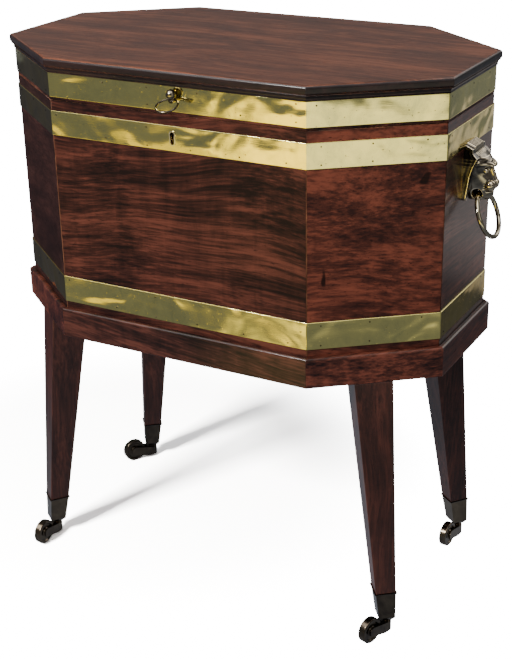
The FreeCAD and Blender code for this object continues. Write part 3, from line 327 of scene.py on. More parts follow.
@dataclass(frozen=True)
class MahoganyFigure:
    """Ribbon figure: broad streaks along the grain, cross fire over them, fine threads, pores and spots.

    The tone is one half plus each pattern's distance from one half times its weight.

    Attributes:
        bend: scale and detail of the sway of the grain.
        sway: how far the grain sways, along and across.
        broad: the broad streaks.
        ribbons: the ribbons between them.
        threads: the fine threads.
        cross: the cross fire.
        clouds: the clouds of lighter and darker wood.
        cloud_weight: weight of the clouds.
        pore_field: pattern of the pores.
        pore_limits: values of the pattern where a pore begins and where it is full.
        pore_depth: how dark a full pore is.
        spot_field: pattern of the spots.
        spot_limits: values of the pattern where a spot begins and where it is full.
        spot_depth: how dark a full spot is.
        hole_colour: colour of pores and spots.
        tone_stops: share of the light colour over the tone.
        pore_relief: relief of the pores.
        thread_relief: relief of the threads.
        tone_gloss: what a light tone adds to the roughness.
        pore_gloss: what a pore adds to it.
    """

    bend: tuple = (2.2, 2.0)
    sway: Triple = (0.04, 0.11, 0.11)
    broad: Noise = Noise(2.1, 3.0, 0.55, stretch=(1.6, 15.0, 15.0))
    ribbons: Noise = Noise(1.6, 5.0, 0.66, stretch=(4.2, 68.0, 68.0))
    threads: Noise = Noise(1.0, 3.0, 0.65, stretch=(16.0, 330.0, 330.0))
    cross: Noise = Noise(1.3, 4.0, 0.6, 0.8, stretch=(30.0, 6.0, 6.0))
    clouds: Noise = Noise(8.0, 4.0, 0.55)
    cloud_weight: float = 0.5
    pore_field: Noise = Noise(1.0, 2.0, 0.6, stretch=(90.0, 620.0, 620.0))
    pore_limits: tuple = (0.62, 0.72)
    pore_depth: float = 0.7
    spot_field: Noise = Noise(34.0, 1.0, 0.4, 0.5)
    spot_limits: tuple = (0.70, 0.76)
    spot_depth: float = 0.9
    hole_colour: Triple = (0.006, 0.003, 0.003)
    tone_stops: tuple = ((0.24, 0.0), (0.48, 0.28), (0.80, 1.0))
    pore_relief: float = -0.6
    thread_relief: float = 0.5
    tone_gloss: float = -0.06
    pore_gloss: float = 0.25

    def build(self) -> bpy.types.NodeTree:
        """Builds the group, whose Vector has its X along the grain.

        Returns:
            The group.
        """
        amounts = dict.fromkeys(("Streaks", "Cross Fire", "Pores", "Spots"), Kind.VALUE)
        inputs = {"Vector": Kind.VECTOR, **amounts, "Light": Kind.COLOUR, "Dark": Kind.COLOUR}
        outputs = {"Color": Kind.COLOUR, "Height": Kind.VALUE, "Gloss": Kind.VALUE}
        group, tree, source, sink = start_group("mahogany_figure", inputs, outputs)
        given = source.outputs
        place = given["Vector"]
        scale, detail = self.bend
        bend = tree.add("ShaderNodeTexNoise", Vector=place, Scale=scale, Detail=detail).outputs["Color"]
        swayed = tree.add("ShaderNodeVectorMath", bend, self.sway, place, operation="MULTIPLY_ADD")
        grain = swayed.outputs[0]
        threads = tree.noise(grain, self.threads)
        layers = (
            (tree.noise(grain, self.broad), 1.0),
            (tree.noise(grain, self.ribbons), given["Streaks"]),
            (tree.noise(grain, self.cross), given["Cross Fire"]),
            (threads, 1.0),
            (tree.noise(place, self.clouds), self.cloud_weight),
        )
        shape = 0.5
        for layer, weight in layers:
            shape = tree.math("MULTIPLY_ADD", tree.math("SUBTRACT", layer, 0.5), weight, shape)
        tone = tree.ramp(shape, self.tone_stops)
        pores = tree.fade(tree.noise(place, self.pore_field), self.pore_limits)
        pores = tree.math("MULTIPLY", pores, given["Pores"])
        spots = tree.fade(tree.noise(place, self.spot_field), self.spot_limits, (0.0, self.spot_depth))
        spots = tree.math("MULTIPLY", spots, given["Spots"])
        holes = tree.math("MAXIMUM", tree.math("MULTIPLY", pores, self.pore_depth), spots)
        wood = tree.mix(tone, given["Dark"], given["Light"])
        tree.feed(sink.inputs["Color"], tree.mix(holes, wood, self.hole_colour))
        relief = tree.math("MULTIPLY", threads, self.thread_relief)
        tree.feed(sink.inputs["Height"], tree.math("MULTIPLY_ADD", pores, self.pore_relief, relief))
        gloss = tree.math("MULTIPLY", pores, self.pore_gloss)
        tree.feed(sink.inputs["Gloss"], tree.math("MULTIPLY_ADD", tone, self.tone_gloss, gloss))
        return group


@dataclass(frozen=True)
class BrassPatina:
    """Old brass sheet: clouded tarnish, dark specks, hand-beaten waviness and fine rubbing marks.

    Attributes:
        clouds: the clouds of tarnish.
        stains: the smaller stains.
        stain_share: share of the stains in the tarnish.
        dull_stops: share of the dull colour over the tarnish.
        speck_field: pattern of the specks.
        speck_stops: how full a speck is over the pattern.
        speck_colour: colour of the specks.
        beaten: the waviness.
        rubbed: the rubbing marks.
        rub_relief: relief of the rubbing marks.
        speck_relief: relief of the specks.
        clean_roughness: roughness where the brass is clean.
        dull_roughness: what tarnish adds to it.
        stain_roughness: what a stain adds to it.
    """

    clouds: Noise = Noise(11.0, 5.0, 0.6, 0.8)
    stains: Noise = Noise(52.0, 4.0, 0.6, 1.2)
    stain_share: float = 0.35
    dull_stops: tuple = ((0.36, 0.0), (0.66, 1.0))
    speck_field: Noise = Noise(330.0, 2.0, 0.5)
    speck_stops: tuple = ((0.70, 0.0), (0.76, 1.0))
    speck_colour: Triple = (0.05, 0.035, 0.018)
    beaten: Noise = Noise(13.0, 2.0, 0.42, 0.4, stretch=(1.0, 1.0, 1.4))
    rubbed: Noise = Noise(1.0, 2.0, 0.5, stretch=(60.0, 60.0, 900.0))
    rub_relief: float = 0.004
    speck_relief: float = -0.03
    clean_roughness: float = 0.03
    dull_roughness: float = 0.10
    stain_roughness: float = 0.06

    def build(self) -> bpy.types.NodeTree:
        """Builds the group.

        Returns:
            The group.
        """
        amounts = {"Tarnish": Kind.VALUE, "Specks": Kind.VALUE}
        inputs = {"Vector": Kind.VECTOR, **amounts, "Bright": Kind.COLOUR, "Dull": Kind.COLOUR}
        outputs = {"Color": Kind.COLOUR, "Height": Kind.VALUE, "Roughness": Kind.VALUE}
        group, tree, source, sink = start_group("brass_patina", inputs, outputs)
        given = source.outputs
        place = given["Vector"]
        stains = tree.noise(place, self.stains)
        clouds = tree.math("MULTIPLY", tree.noise(place, self.clouds), 1.0 - self.stain_share)
        mottled = tree.math("MULTIPLY_ADD", stains, self.stain_share, clouds)
        shifted = tree.math("ADD", mottled, tree.math("SUBTRACT", given["Tarnish"], 0.5))
        dullness = tree.ramp(shifted, self.dull_stops)
        sheet = tree.mix(dullness, given["Bright"], given["Dull"])
        specks = tree.ramp(tree.noise(place, self.speck_field), self.speck_stops)
        specks = tree.math("MULTIPLY", specks, given["Specks"])
        tree.feed(sink.inputs["Color"], tree.mix(specks, sheet, self.speck_colour))
        beaten, rubbed = tree.noise(place, self.beaten), tree.noise(place, self.rubbed)
        relief = tree.math("MULTIPLY_ADD", rubbed, self.rub_relief, beaten)
        tree.feed(sink.inputs["Height"], tree.math("MULTIPLY_ADD", specks, self.speck_relief, relief))
        rough = tree.math("MULTIPLY_ADD", dullness, self.dull_roughness, self.clean_roughness)
        tree.feed(sink.inputs["Roughness"], tree.math("MULTIPLY_ADD", stains, self.stain_roughness, rough))
        return group


@dataclass(frozen=True)
class HandlingMarks:
    """Uneven polish from years of hands and dusters, as an addition to a finish's roughness.

    Attributes:
        smears: pattern of the smears.
        level: value of the pattern where the roughness stays as it is.
    """

    smears: Noise = Noise(9.0, 5.0, 0.65, 0.7)
    level: float = 0.4

    def build(self) -> bpy.types.NodeTree:
        """Builds the group.

        Returns:
            The group.
        """
        inputs = {"Vector": Kind.VECTOR, "Amount": Kind.VALUE}
        group, tree, source, sink = start_group("handling_marks", inputs, {"Roughness": Kind.VALUE})
        smears = tree.noise(source.outputs["Vector"], self.smears)
        uneven = tree.math("SUBTRACT", smears, self.level)
        tree.feed(sink.inputs["Roughness"], tree.math("MULTIPLY", uneven, source.outputs["Amount"]))
        return group


@dataclass(frozen=True)
class Effects:
    """The shader groups that several finishes share, each built once.

    Attributes:
        figure: the figure of mahogany.
        patina: the patina of brass.
        handling: the marks of handling.
    """

    figure: bpy.types.NodeTree
    patina: bpy.types.NodeTree
    handling: bpy.types.NodeTree


# Finishes


@dataclass(frozen=True)
class Mahogany:
    """French-polished mahogany.

    Attributes:
        finish: the finish that it makes.
        grain: the way the board's grain runs.
        light: colour of the light streaks.
        dark: colour of the dark streaks.
        streaks: how strongly the streaks along the grain show.
        cross_fire: how strongly the figure across the grain shows.
        pores: how dark the pores are.
        spots: how dark the scattered knots and ink spots are.
        roughness: roughness of the wood under the polish.
        marks: how uneven the polish is.
        coat: weight of the polish.
        coat_roughness: roughness of the polish.
        sheen: how strongly the wood itself shines.
        relief: depth of the pores in the surface.
        relief_strength: how strongly that depth shows.
        index: refractive index of the polish.
        offset: where in the pattern this board was cut.
    """

    finish: Finish
    grain: Grain
    light: Triple = (0.090, 0.027, 0.018)
    dark: Triple = (0.008, 0.0040, 0.0045)
    streaks: float = 1.0
    cross_fire: float = 0.4
    pores: float = 0.6
    spots: float = 0.0
    roughness: float = 0.42
    marks: float = 0.1
    coat: float = 0.03
    coat_roughness: float = 0.12
    sheen: float = 0.06
    relief: float = 0.0004
    relief_strength: float = 0.10
    index: float = 1.5
    offset: Triple = (0.0, 0.0, 0.0)

    def build(self, effects: Effects) -> bpy.types.Material:
        """Makes the material.

        Args:
            effects: the shared shader groups.

        Returns:
            The material.
        """
        material, tree, place = start_material(self.finish.value)
        turn = tuple(math.radians(angle) for angle in self.grain.value)
        cut = tree.add("ShaderNodeMapping", Vector=place, Location=self.offset, Rotation=turn)
        figure = tree.add(
            "ShaderNodeGroup",
            node_tree=effects.figure,
            Vector=cut.outputs[0],
            Streaks=self.streaks,
            Cross_Fire=self.cross_fire,
            Pores=self.pores,
            Spots=self.spots,
            Light=(*self.light, 1.0),
            Dark=(*self.dark, 1.0),
        )
        handled = tree.add("ShaderNodeGroup", node_tree=effects.handling, Vector=place, Amount=self.marks)
        gloss = tree.math("ADD", figure.outputs["Gloss"], self.roughness)
        bump = tree.add(
            "ShaderNodeBump",
            Strength=self.relief_strength,
            Distance=self.relief,
            Height=figure.outputs["Height"],
        )
        shader = tree.add(
            "ShaderNodeBsdfPrincipled",
            Base_Color=figure.outputs["Color"],
            Roughness=tree.math("ADD", gloss, handled.outputs["Roughness"]),
            IOR=self.index,
            Specular_IOR_Level=self.sheen,
            Coat_Weight=self.coat,
            Coat_Roughness=self.coat_roughness,
            Normal=bump.outputs[0],
        )
        tree.add("ShaderNodeOutputMaterial", shader.outputs[0])
        return material


@dataclass(frozen=True)
class Brass:
    """Old metal, from polished brass sheet to dark castings, zinc and iron.

    Attributes:
        finish: the finish that it makes.
        bright: colour where it is rubbed clean.
        dull: colour where it is tarnished.
        tarnish: share of tarnish, about 0.5 in the middle.
        specks: how dark the specks are.
        smoothness: taken off the patina's roughness.
        beaten: depth of the waviness.
        beaten_strength: how strongly that depth shows.
        recess: how much more tarnish lies in hollows than on edges.
        hollow_limits: the pointiness of a full hollow and of a full edge.
    """

    finish: Finish
    bright: Triple = (0.86, 0.73, 0.25)
    dull: Triple = (0.45, 0.43, 0.20)
    tarnish: float = 0.45
    specks: float = 0.5
    smoothness: float = 0.0
    beaten: float = 0.0036
    beaten_strength: float = 0.8
    recess: float = 0.0
    hollow_limits: tuple = (0.495, 0.54)

    def build(self, effects: Effects) -> bpy.types.Material:
        """Makes the material.

        Args:
            effects: the shared shader groups.

        Returns:
            The material.
        """
        material, tree, place = start_material(self.finish.value)
        tarnish = self.tarnish
        if self.recess:
            pointed = tree.add("ShaderNodeNewGeometry").outputs["Pointiness"]
            most, least = self.tarnish + self.recess, self.tarnish - self.recess
            tarnish = tree.fade(pointed, self.hollow_limits, (most, least))
        patina = tree.add(
            "ShaderNodeGroup",
            node_tree=effects.patina,
            Vector=place,
            Tarnish=tarnish,
            Specks=self.specks,
            Bright=(*self.bright, 1.0),
            Dull=(*self.dull, 1.0),
        )
        bump = tree.add(
            "ShaderNodeBump",
            Strength=self.beaten_strength,
            Distance=self.beaten,
            Height=patina.outputs["Height"],
        )
        shader = tree.add(
            "ShaderNodeBsdfPrincipled",
            Base_Color=patina.outputs["Color"],
            Metallic=1.0,
            Roughness=tree.math("SUBTRACT", patina.outputs["Roughness"], self.smoothness),
            Normal=bump.outputs[0],
        )
        tree.add("ShaderNodeOutputMaterial", shader.outputs[0])
        return material


FINISHES = (
    Mahogany(Finish.FRONT, Grain.ALONG_FRONT, cross_fire=0.45, pores=1.0),
    # Lit cants: lighter colours than the front. This is painted light over the board's own redder figure
    # and spots.
    Mahogany(
        Finish.LIT_CANT,
        Grain.ALONG_RIGHT_CANT,
        light=(0.172, 0.048, 0.029),
        dark=(0.024, 0.009, 0.008),
        cross_fire=0.3,
        pores=1.0,
        spots=1.0,
        offset=(0.4, 1.3, 0.2),
    ),
    # Shaded cants: darker colours and almost no polish, painted shade.
    Mahogany(
        Finish.SHADED_CANT,
        Grain.ALONG_LEFT_CANT,
        light=(0.038, 0.016, 0.0135),
        dark=(0.011, 0.006, 0.006),
        streaks=0.7,
        coat=0.02,
        sheen=0.05,
        offset=(1.9, 0.3, 0.6),
    ),
    Mahogany(
        Finish.END,
        Grain.ALONG_END,
        light=(0.16, 0.040, 0.020),
        dark=(0.024, 0.008, 0.006),
        streaks=0.8,
        coat=0.5,
        sheen=0.25,
        offset=(0.9, 2.1, 1.2),
    ),
    # Lid top: lighter colours than the front, painted light standing in for the light and sheen on the top.
    Mahogany(
        Finish.LID,
        Grain.ALONG_FRONT,
        light=(0.215, 0.072, 0.038),
        dark=(0.052, 0.021, 0.015),
        streaks=1.1,
        cross_fire=0.1,
        coat=0.35,
        sheen=0.25,
        offset=(0.2, 0.7, 3.1),
    ),
    Mahogany(
        Finish.APRON,
        Grain.ALONG_FRONT,
        light=(0.078, 0.025, 0.018),
        streaks=0.8,
        coat=0.3,
        offset=(2.2, 0.4, 1.1),
    ),
    # Apron corner blocks: lighter colours like the lit cant's, painted light carried onto all four blocks.
    Mahogany(
        Finish.APRON_CANT,
        Grain.ALONG_RIGHT_CANT,
        light=(0.155, 0.044, 0.028),
        streaks=0.8,
        coat=0.3,
        offset=(2.9, 0.4, 1.1),
    ),
    Mahogany(
        Finish.LEG,
        Grain.UPRIGHT,
        light=(0.072, 0.021, 0.014),
        dark=(0.016, 0.006, 0.005),
        streaks=0.7,
        cross_fire=0.2,
        coat=0.35,
        sheen=0.2,
        offset=(0.3, 0.3, 1.9),
    ),
    # Shaded rim: much darker than the other mahogany, painted shade on the lid board's upright edges and on
    # the moulding.
    Mahogany(
        Finish.SHADED_RIM,
        Grain.ALONG_FRONT,
        light=(0.022, 0.010, 0.0095),
        dark=(0.007, 0.0045, 0.005),
        streaks=0.8,
        coat=0.25,
        sheen=0.15,
        offset=(1.2, 0.2, 0.8),
    ),
    # Lid arris: brighter colours and a heavy polish on the lid's worn nosing, partly bared wood and partly
    # painted highlight.
    Mahogany(
        Finish.LID_ARRIS_WEAR_AND_HIGHLIGHT,
        Grain.ALONG_FRONT,
        light=(0.30, 0.10, 0.055),
        dark=(0.09, 0.030, 0.020),
        coat=0.8,
        sheen=0.5,
        offset=(0.7, 0.1, 0.9),
    ),
    # Arris: lighter colours on the worn arrises of panels and moulding, partly bared wood and partly
    # painted highlight.
    Mahogany(
        Finish.ARRIS_WEAR_AND_HIGHLIGHT,
        Grain.UPRIGHT,
        light=(0.17, 0.07, 0.035),
        dark=(0.03, 0.011, 0.007),
        cross_fire=0.9,
        offset=(0.1, 0.6, 0.4),
    ),
    Brass(Finish.BAND),
    Brass(
        Finish.CASTING,
        bright=(0.70, 0.60, 0.43),
        dull=(0.055, 0.050, 0.044),
        tarnish=0.42,
        beaten=0.0003,
        recess=0.24,
    ),
    Brass(Finish.RING, bright=(0.52, 0.46, 0.33), dull=(0.16, 0.14, 0.10), tarnish=0.46, beaten=0.0002),
    Brass(Finish.KNOB, bright=(0.40, 0.35, 0.26), dull=(0.06, 0.05, 0.035), tarnish=0.55, beaten=0.0003),
    Brass(
        Finish.CASTOR,
        bright=(0.20, 0.16, 0.11),
        dull=(0.055, 0.045, 0.036),
        tarnish=0.55,
        smoothness=-0.08,
        beaten=0.0004,
    ),
    Brass(Finish.PIN, bright=(0.10, 0.075, 0.04), dull=(0.04, 0.03, 0.02), tarnish=0.6, beaten=0.0001),
    Brass(Finish.KEYHOLE, bright=(0.95, 0.86, 0.62), dull=(0.70, 0.62, 0.42), tarnish=0.3, beaten=0.0001),
    Brass(
        Finish.ZINC,
        bright=(0.36, 0.37, 0.38),
        dull=(0.16, 0.165, 0.17),
        tarnish=0.6,
        smoothness=-0.2,
        beaten=0.0005,
    ),
    Brass(
        Finish.IRON,
        bright=(0.16, 0.15, 0.14),
        dull=(0.05, 0.045, 0.04),
        tarnish=0.6,
        smoothness=-0.15,
        beaten=0.0002,
    ),
)


# Meshes


def mesh_object(name: str, vertices: np.ndarray, faces: np.ndarray | list) -> bpy.types.Object:
    """Makes an object at the origin from arrays.

    Args:
        name: the object's name.
        vertices: an array of points.
        faces: an array or list of vertex indices.

    Returns:
        The object, linked to the scene.
    """
    mesh = bpy.data.meshes.new(name)
    mesh.from_pydata(np.asarray(vertices, float).tolist(), [], [list(map(int, face)) for face in faces])
    mesh.validate()
    return linked_object(name, mesh)


def linked_object(name: str, data: bpy.types.ID) -> bpy.types.Object:
    """Makes an object of a mesh, a lamp or a camera.

    Args:
        name: the object's name.
        data: what it shows.

    Returns:
        The object, linked to the scene.
    """
    piece = bpy.data.objects.new(name, data)
    bpy.context.scene.collection.objects.link(piece)
    return piece


def settled_mesh(piece: bpy.types.Object) -> bpy.types.Mesh:
    """Works a piece's modifiers into its mesh.

    Args:
        piece: the piece, which is left with no modifier.

    Returns:
        Its new mesh.
    """
    depsgraph = bpy.context.evaluated_depsgraph_get()
    mesh = bpy.data.meshes.new_from_object(piece.evaluated_get(depsgraph))
    piece.modifiers.clear()
    piece.data = mesh
    return mesh


def read_array(items: bpy.types.bpy_prop_collection, name: str, width: int = 1) -> np.ndarray:
    """Reads one property of a mesh's vertices, edges, loops or faces.

    Args:
        items: the vertices, edges, loops or faces.
        name: the property.
        width: how many numbers each has.

    Returns:
        An array with a row for each, or a flat one where each has one number.
    """
    whole = name in ("vertices", "edge_index", "loop_total")
    values = np.empty(len(items) * width, int if whole else float)
    items.foreach_get(name, values)
    return values.reshape(-1, width) if width > 1 else values


def sharp_edges(mesh: bpy.types.Mesh, degrees: float) -> np.ndarray:
    """Finds the edges that part two faces meeting at more than an angle.

    The loops are sorted by their edge, so that the two faces of an edge lie side by side. An edge
    where boards touch has more than two faces, and is left out.

    Args:
        mesh: the mesh.
        degrees: the angle.

    Returns:
        True for each such edge.
    """
    edges = read_array(mesh.loops, "edge_index")
    normals = read_array(mesh.polygons, "normal", 3)
    facing = np.repeat(normals, read_array(mesh.polygons, "loop_total"), axis=0)
    facing = facing[np.argsort(edges, kind="stable")]
    count = np.bincount(edges, minlength=len(mesh.edges))
    first = np.cumsum(count) - count
    second = np.minimum(first + 1, len(edges) - 1)
    bent = np.einsum("ij,ij->i", facing[first], facing[second]) < math.cos(math.radians(degrees))
    return bent & (count == 2)


def closed_grid_faces(rows: int, columns: int, close_rows: bool, close_columns: bool) -> np.ndarray:
    """Quads of a grid of points stored row by row.

    Corner indices are row times the number of columns plus column, and a closed direction wraps round.

    Args:
        rows: number of rows of points.
        columns: number of points in a row.
        close_rows: whether the last row joins the first.
        close_columns: whether the last column joins the first.

    Returns:
        An array of quads.
    """
    row = np.arange(rows if close_rows else rows - 1)[:, None]
    column = np.arange(columns if close_columns else columns - 1)[None, :]
    next_row, next_column = (row + 1) % rows, (column + 1) % columns
    quads = (
        row * columns + column,
        row * columns + next_column,
        next_row * columns + next_column,
        next_row * columns + column,
    )
    return np.stack([np.broadcast_to(q, (row.size, column.size)) for q in quads], -1).reshape(-1, 4)


def repeated_faces(faces: np.ndarray, copies: int, points: int) -> list:
    """Faces of many copies of a shape.

    Args:
        faces: the faces of one copy.
        copies: number of copies.
        points: number of points in a copy.

    Returns:
        The faces of all copies, as lists of vertex indices.
    """
    offsets = np.arange(copies)[:, None, None] * points
    return (faces[None] + offsets).reshape(-1, faces.shape[1]).tolist()


@dataclass
class Workshop:
    """Dresses nodes of the frame and places new pieces.

    Attributes:
        materials: the materials by finish.
        crease: angle in degrees past which an edge is an arris.
        wear_steps: faces across a worn arris.
        merging: corners closer than this are one.
        flatness: angle in degrees up to which faces are one flat face.
        clamp_under: where edges shorter than this are worn too, the wear is held to their length.
        flat_weight: how strongly large faces keep their shading flat beside a worn arris.
    """

    frame: dict
    materials: dict[Finish, bpy.types.Material]
    crease: float = 30.0
    wear_steps: int = 3
    merging: float = 1e-6
    flatness: float = 0.3
    clamp_under: float = 0.01
    flat_weight: int = 100

    def body_of(self, node: str) -> str:
        """Name of the body that a node rides on."""
        return self.frame["nodes"][node]["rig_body"]

    def dress(self, piece: bpy.types.Object, finish: Finish) -> None:
        """Gives a piece one finish."""
        piece.data.materials.clear()
        piece.data.materials.append(self.materials[finish])

    def finish_nodes(self, finish: Finish, *nodes: str) -> None:
        """Gives nodes of the frame a finish and leaves their shape as it is.

        Args:
            finish: the finish.
            nodes: the frame's nodes.
        """
        for node in nodes:
            self.dress(self.frame["nodes"][node], finish)
            log.info("%s in %s", node, finish.value)

    def place(self, piece: bpy.types.Object, node: str, finish: Finish, replaces: bool = True) -> None:
        """Puts a new piece on the body of a node of the frame.

        Args:
            piece: the piece, already where it belongs.
            node: the frame's node.
            finish: its finish.
            replaces: whether it stands in for the node.
        """
        self.dress(piece, finish)
        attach(piece, self.body_of(node))
        if replaces:
            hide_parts(node)
        log.info("%s on %s, %d faces", piece.name, self.body_of(node), len(piece.data.polygons))

    def merged_copy(self, node: str, name: str) -> bpy.types.Object:
        """Copy of a node with its corners merged and its flat faces made whole.

        Args:
            node: the frame's node.
            name: the copy's name.

        Returns:
            The copy, linked to the scene.
        """
        shape = bmesh.new()
        shape.from_mesh(self.frame["nodes"][node].data)
        bmesh.ops.remove_doubles(shape, verts=shape.verts, dist=self.merging)
        flat = math.radians(self.flatness)
        bmesh.ops.dissolve_limit(shape, angle_limit=flat, verts=shape.verts, edges=shape.edges)
        mesh = bpy.data.meshes.new(name)
        shape.to_mesh(mesh)
        shape.free()
        return linked_object(name, mesh)

    def worn(
        self, node: str, finish: Finish, width: float, shortest: float, arris: Finish | None = None
    ) -> bpy.types.Object:
        """Stands in for a node with a copy whose arrises are worn round.

        Args:
            node: the frame's node.
            finish: its finish.
            width: width of the wear across an arris.
            shortest: edges shorter than this keep their arris.
            arris: the finish of the worn arrises, if they have their own; the arris finishes are lighter,
                partly wear and partly painted highlight.

        Returns:
            The worn copy.
        """
        copy = self.merged_copy(node, node + "_worn")
        mesh = copy.data
        mesh.shade_smooth()
        sharp = sharp_edges(mesh, self.crease)
        ends = read_array(mesh.edges, "vertices", 2)
        points = read_array(mesh.vertices, "co", 3)
        lengths = np.linalg.norm(points[ends[:, 0]] - points[ends[:, 1]], axis=1)
        creases = mesh.attributes.get("sharp_edge") or mesh.attributes.new("sharp_edge", "BOOLEAN", "EDGE")
        creases.data.foreach_set("value", sharp)
        weights = mesh.attributes.new("bevel_weight_edge", "FLOAT", "EDGE")
        weights.data.foreach_set("value", (sharp & (lengths > shortest)).astype(np.float32))
        bevel = copy.modifiers.new("wear", "BEVEL")
        bevel.width = width
        bevel.segments = self.wear_steps
        bevel.limit_method = "WEIGHT"
        bevel.use_clamp_overlap = shortest < self.clamp_under
        flat = copy.modifiers.new("flat_faces", "WEIGHTED_NORMAL")
        flat.weight = self.flat_weight
        flat.keep_sharp = True
        self.place(copy, node, finish)
        if arris:
            mesh.materials.append(self.materials[arris])
            bevel.material = 1
        return copy


# Coffer


@dataclass
class CofferOutline:
    """The octagon of the coffer as a path, with every corner bent to a small radius.

    Attributes:
        half_width: half the width of the boards' outer faces.
        half_depth: half their depth.
        centre_y: Y of the coffer's middle.
        cant_along_front: how far a cant runs along the front.
        cant_along_end: how far it runs along the end.
        bend: radius of a bent corner.
        corner_steps: points in a bent corner.
        side_step: longest distance between points on a side.
    """

    half_width: float
    half_depth: float
    centre_y: float
    cant_along_front: float = 0.125
    cant_along_end: float = 0.098
    bend: float = 0.0014
    corner_steps: int = 5
    side_step: float = 0.007

    def corners(self) -> np.ndarray:
        """Corners anticlockwise from the left end of the front.

        Returns:
            An array of X and Y.
        """
        x, y = self.half_width, self.half_depth
        inner_x, inner_y = x - self.cant_along_front, y - self.cant_along_end
        right = [(inner_x, -y), (x, -inner_y), (x, inner_y), (inner_x, y)]
        left = [(-inner_x, y), (-x, inner_y), (-x, -inner_y), (-inner_x, -y)]
        return np.array([left[-1]] + right + left[:-1]) + (0.0, self.centre_y)

    def normals(self) -> np.ndarray:
        """Outward normal of each side: its direction turned by a quarter.

        Returns:
            An array of X and Y.
        """
        points = self.corners()
        along = np.roll(points, -1, axis=0) - points
        along /= np.linalg.norm(along, axis=1)[:, None]
        return np.stack([along[:, 1], -along[:, 0]], 1)

    def inset(self, before: np.ndarray, after: np.ndarray) -> np.ndarray:
        """Way from a bend's centre to its corner: the normals' sum over one plus their product."""
        return (before + after) / (1 + before @ after) * self.bend

    def path(self) -> tuple[np.ndarray, np.ndarray]:
        """Points and outward directions round the outline.

        A side is sampled evenly between its bends. In a bend the direction turns evenly from one side's
        normal to the next, and the point is the bend's centre plus the bend radius along the direction.

        Returns:
            An array of points and one of unit directions.
        """
        points, directions = [], []
        corners, normals = self.corners(), self.normals()
        ends = zip(corners, np.roll(corners, -1, axis=0))
        facing = zip(np.roll(normals, 1, axis=0), normals, np.roll(normals, -1, axis=0))
        for (corner, next_corner), (before, after, following) in zip(ends, facing):
            centre = corner - self.inset(before, after)
            start, end = np.arctan2(before[1], before[0]), np.arctan2(after[1], after[0])
            end = start + (end - start + math.pi) % FULL_TURN - math.pi
            angles = np.linspace(start, end, self.corner_steps)
            turning = np.stack([np.cos(angles), np.sin(angles)], 1)
            first = centre + after * self.bend
            last = next_corner - self.inset(after, following) + after * self.bend
            count = max(2, int(np.linalg.norm(last - first) / self.side_step))
            share = np.linspace(0, 1, count + 1)[1:-1, None]
            points += [centre + turning * self.bend, first + (last - first) * share]
            directions += [turning, np.repeat(after[None, :], count - 1, 0)]
        return np.concatenate(points), np.concatenate(directions)


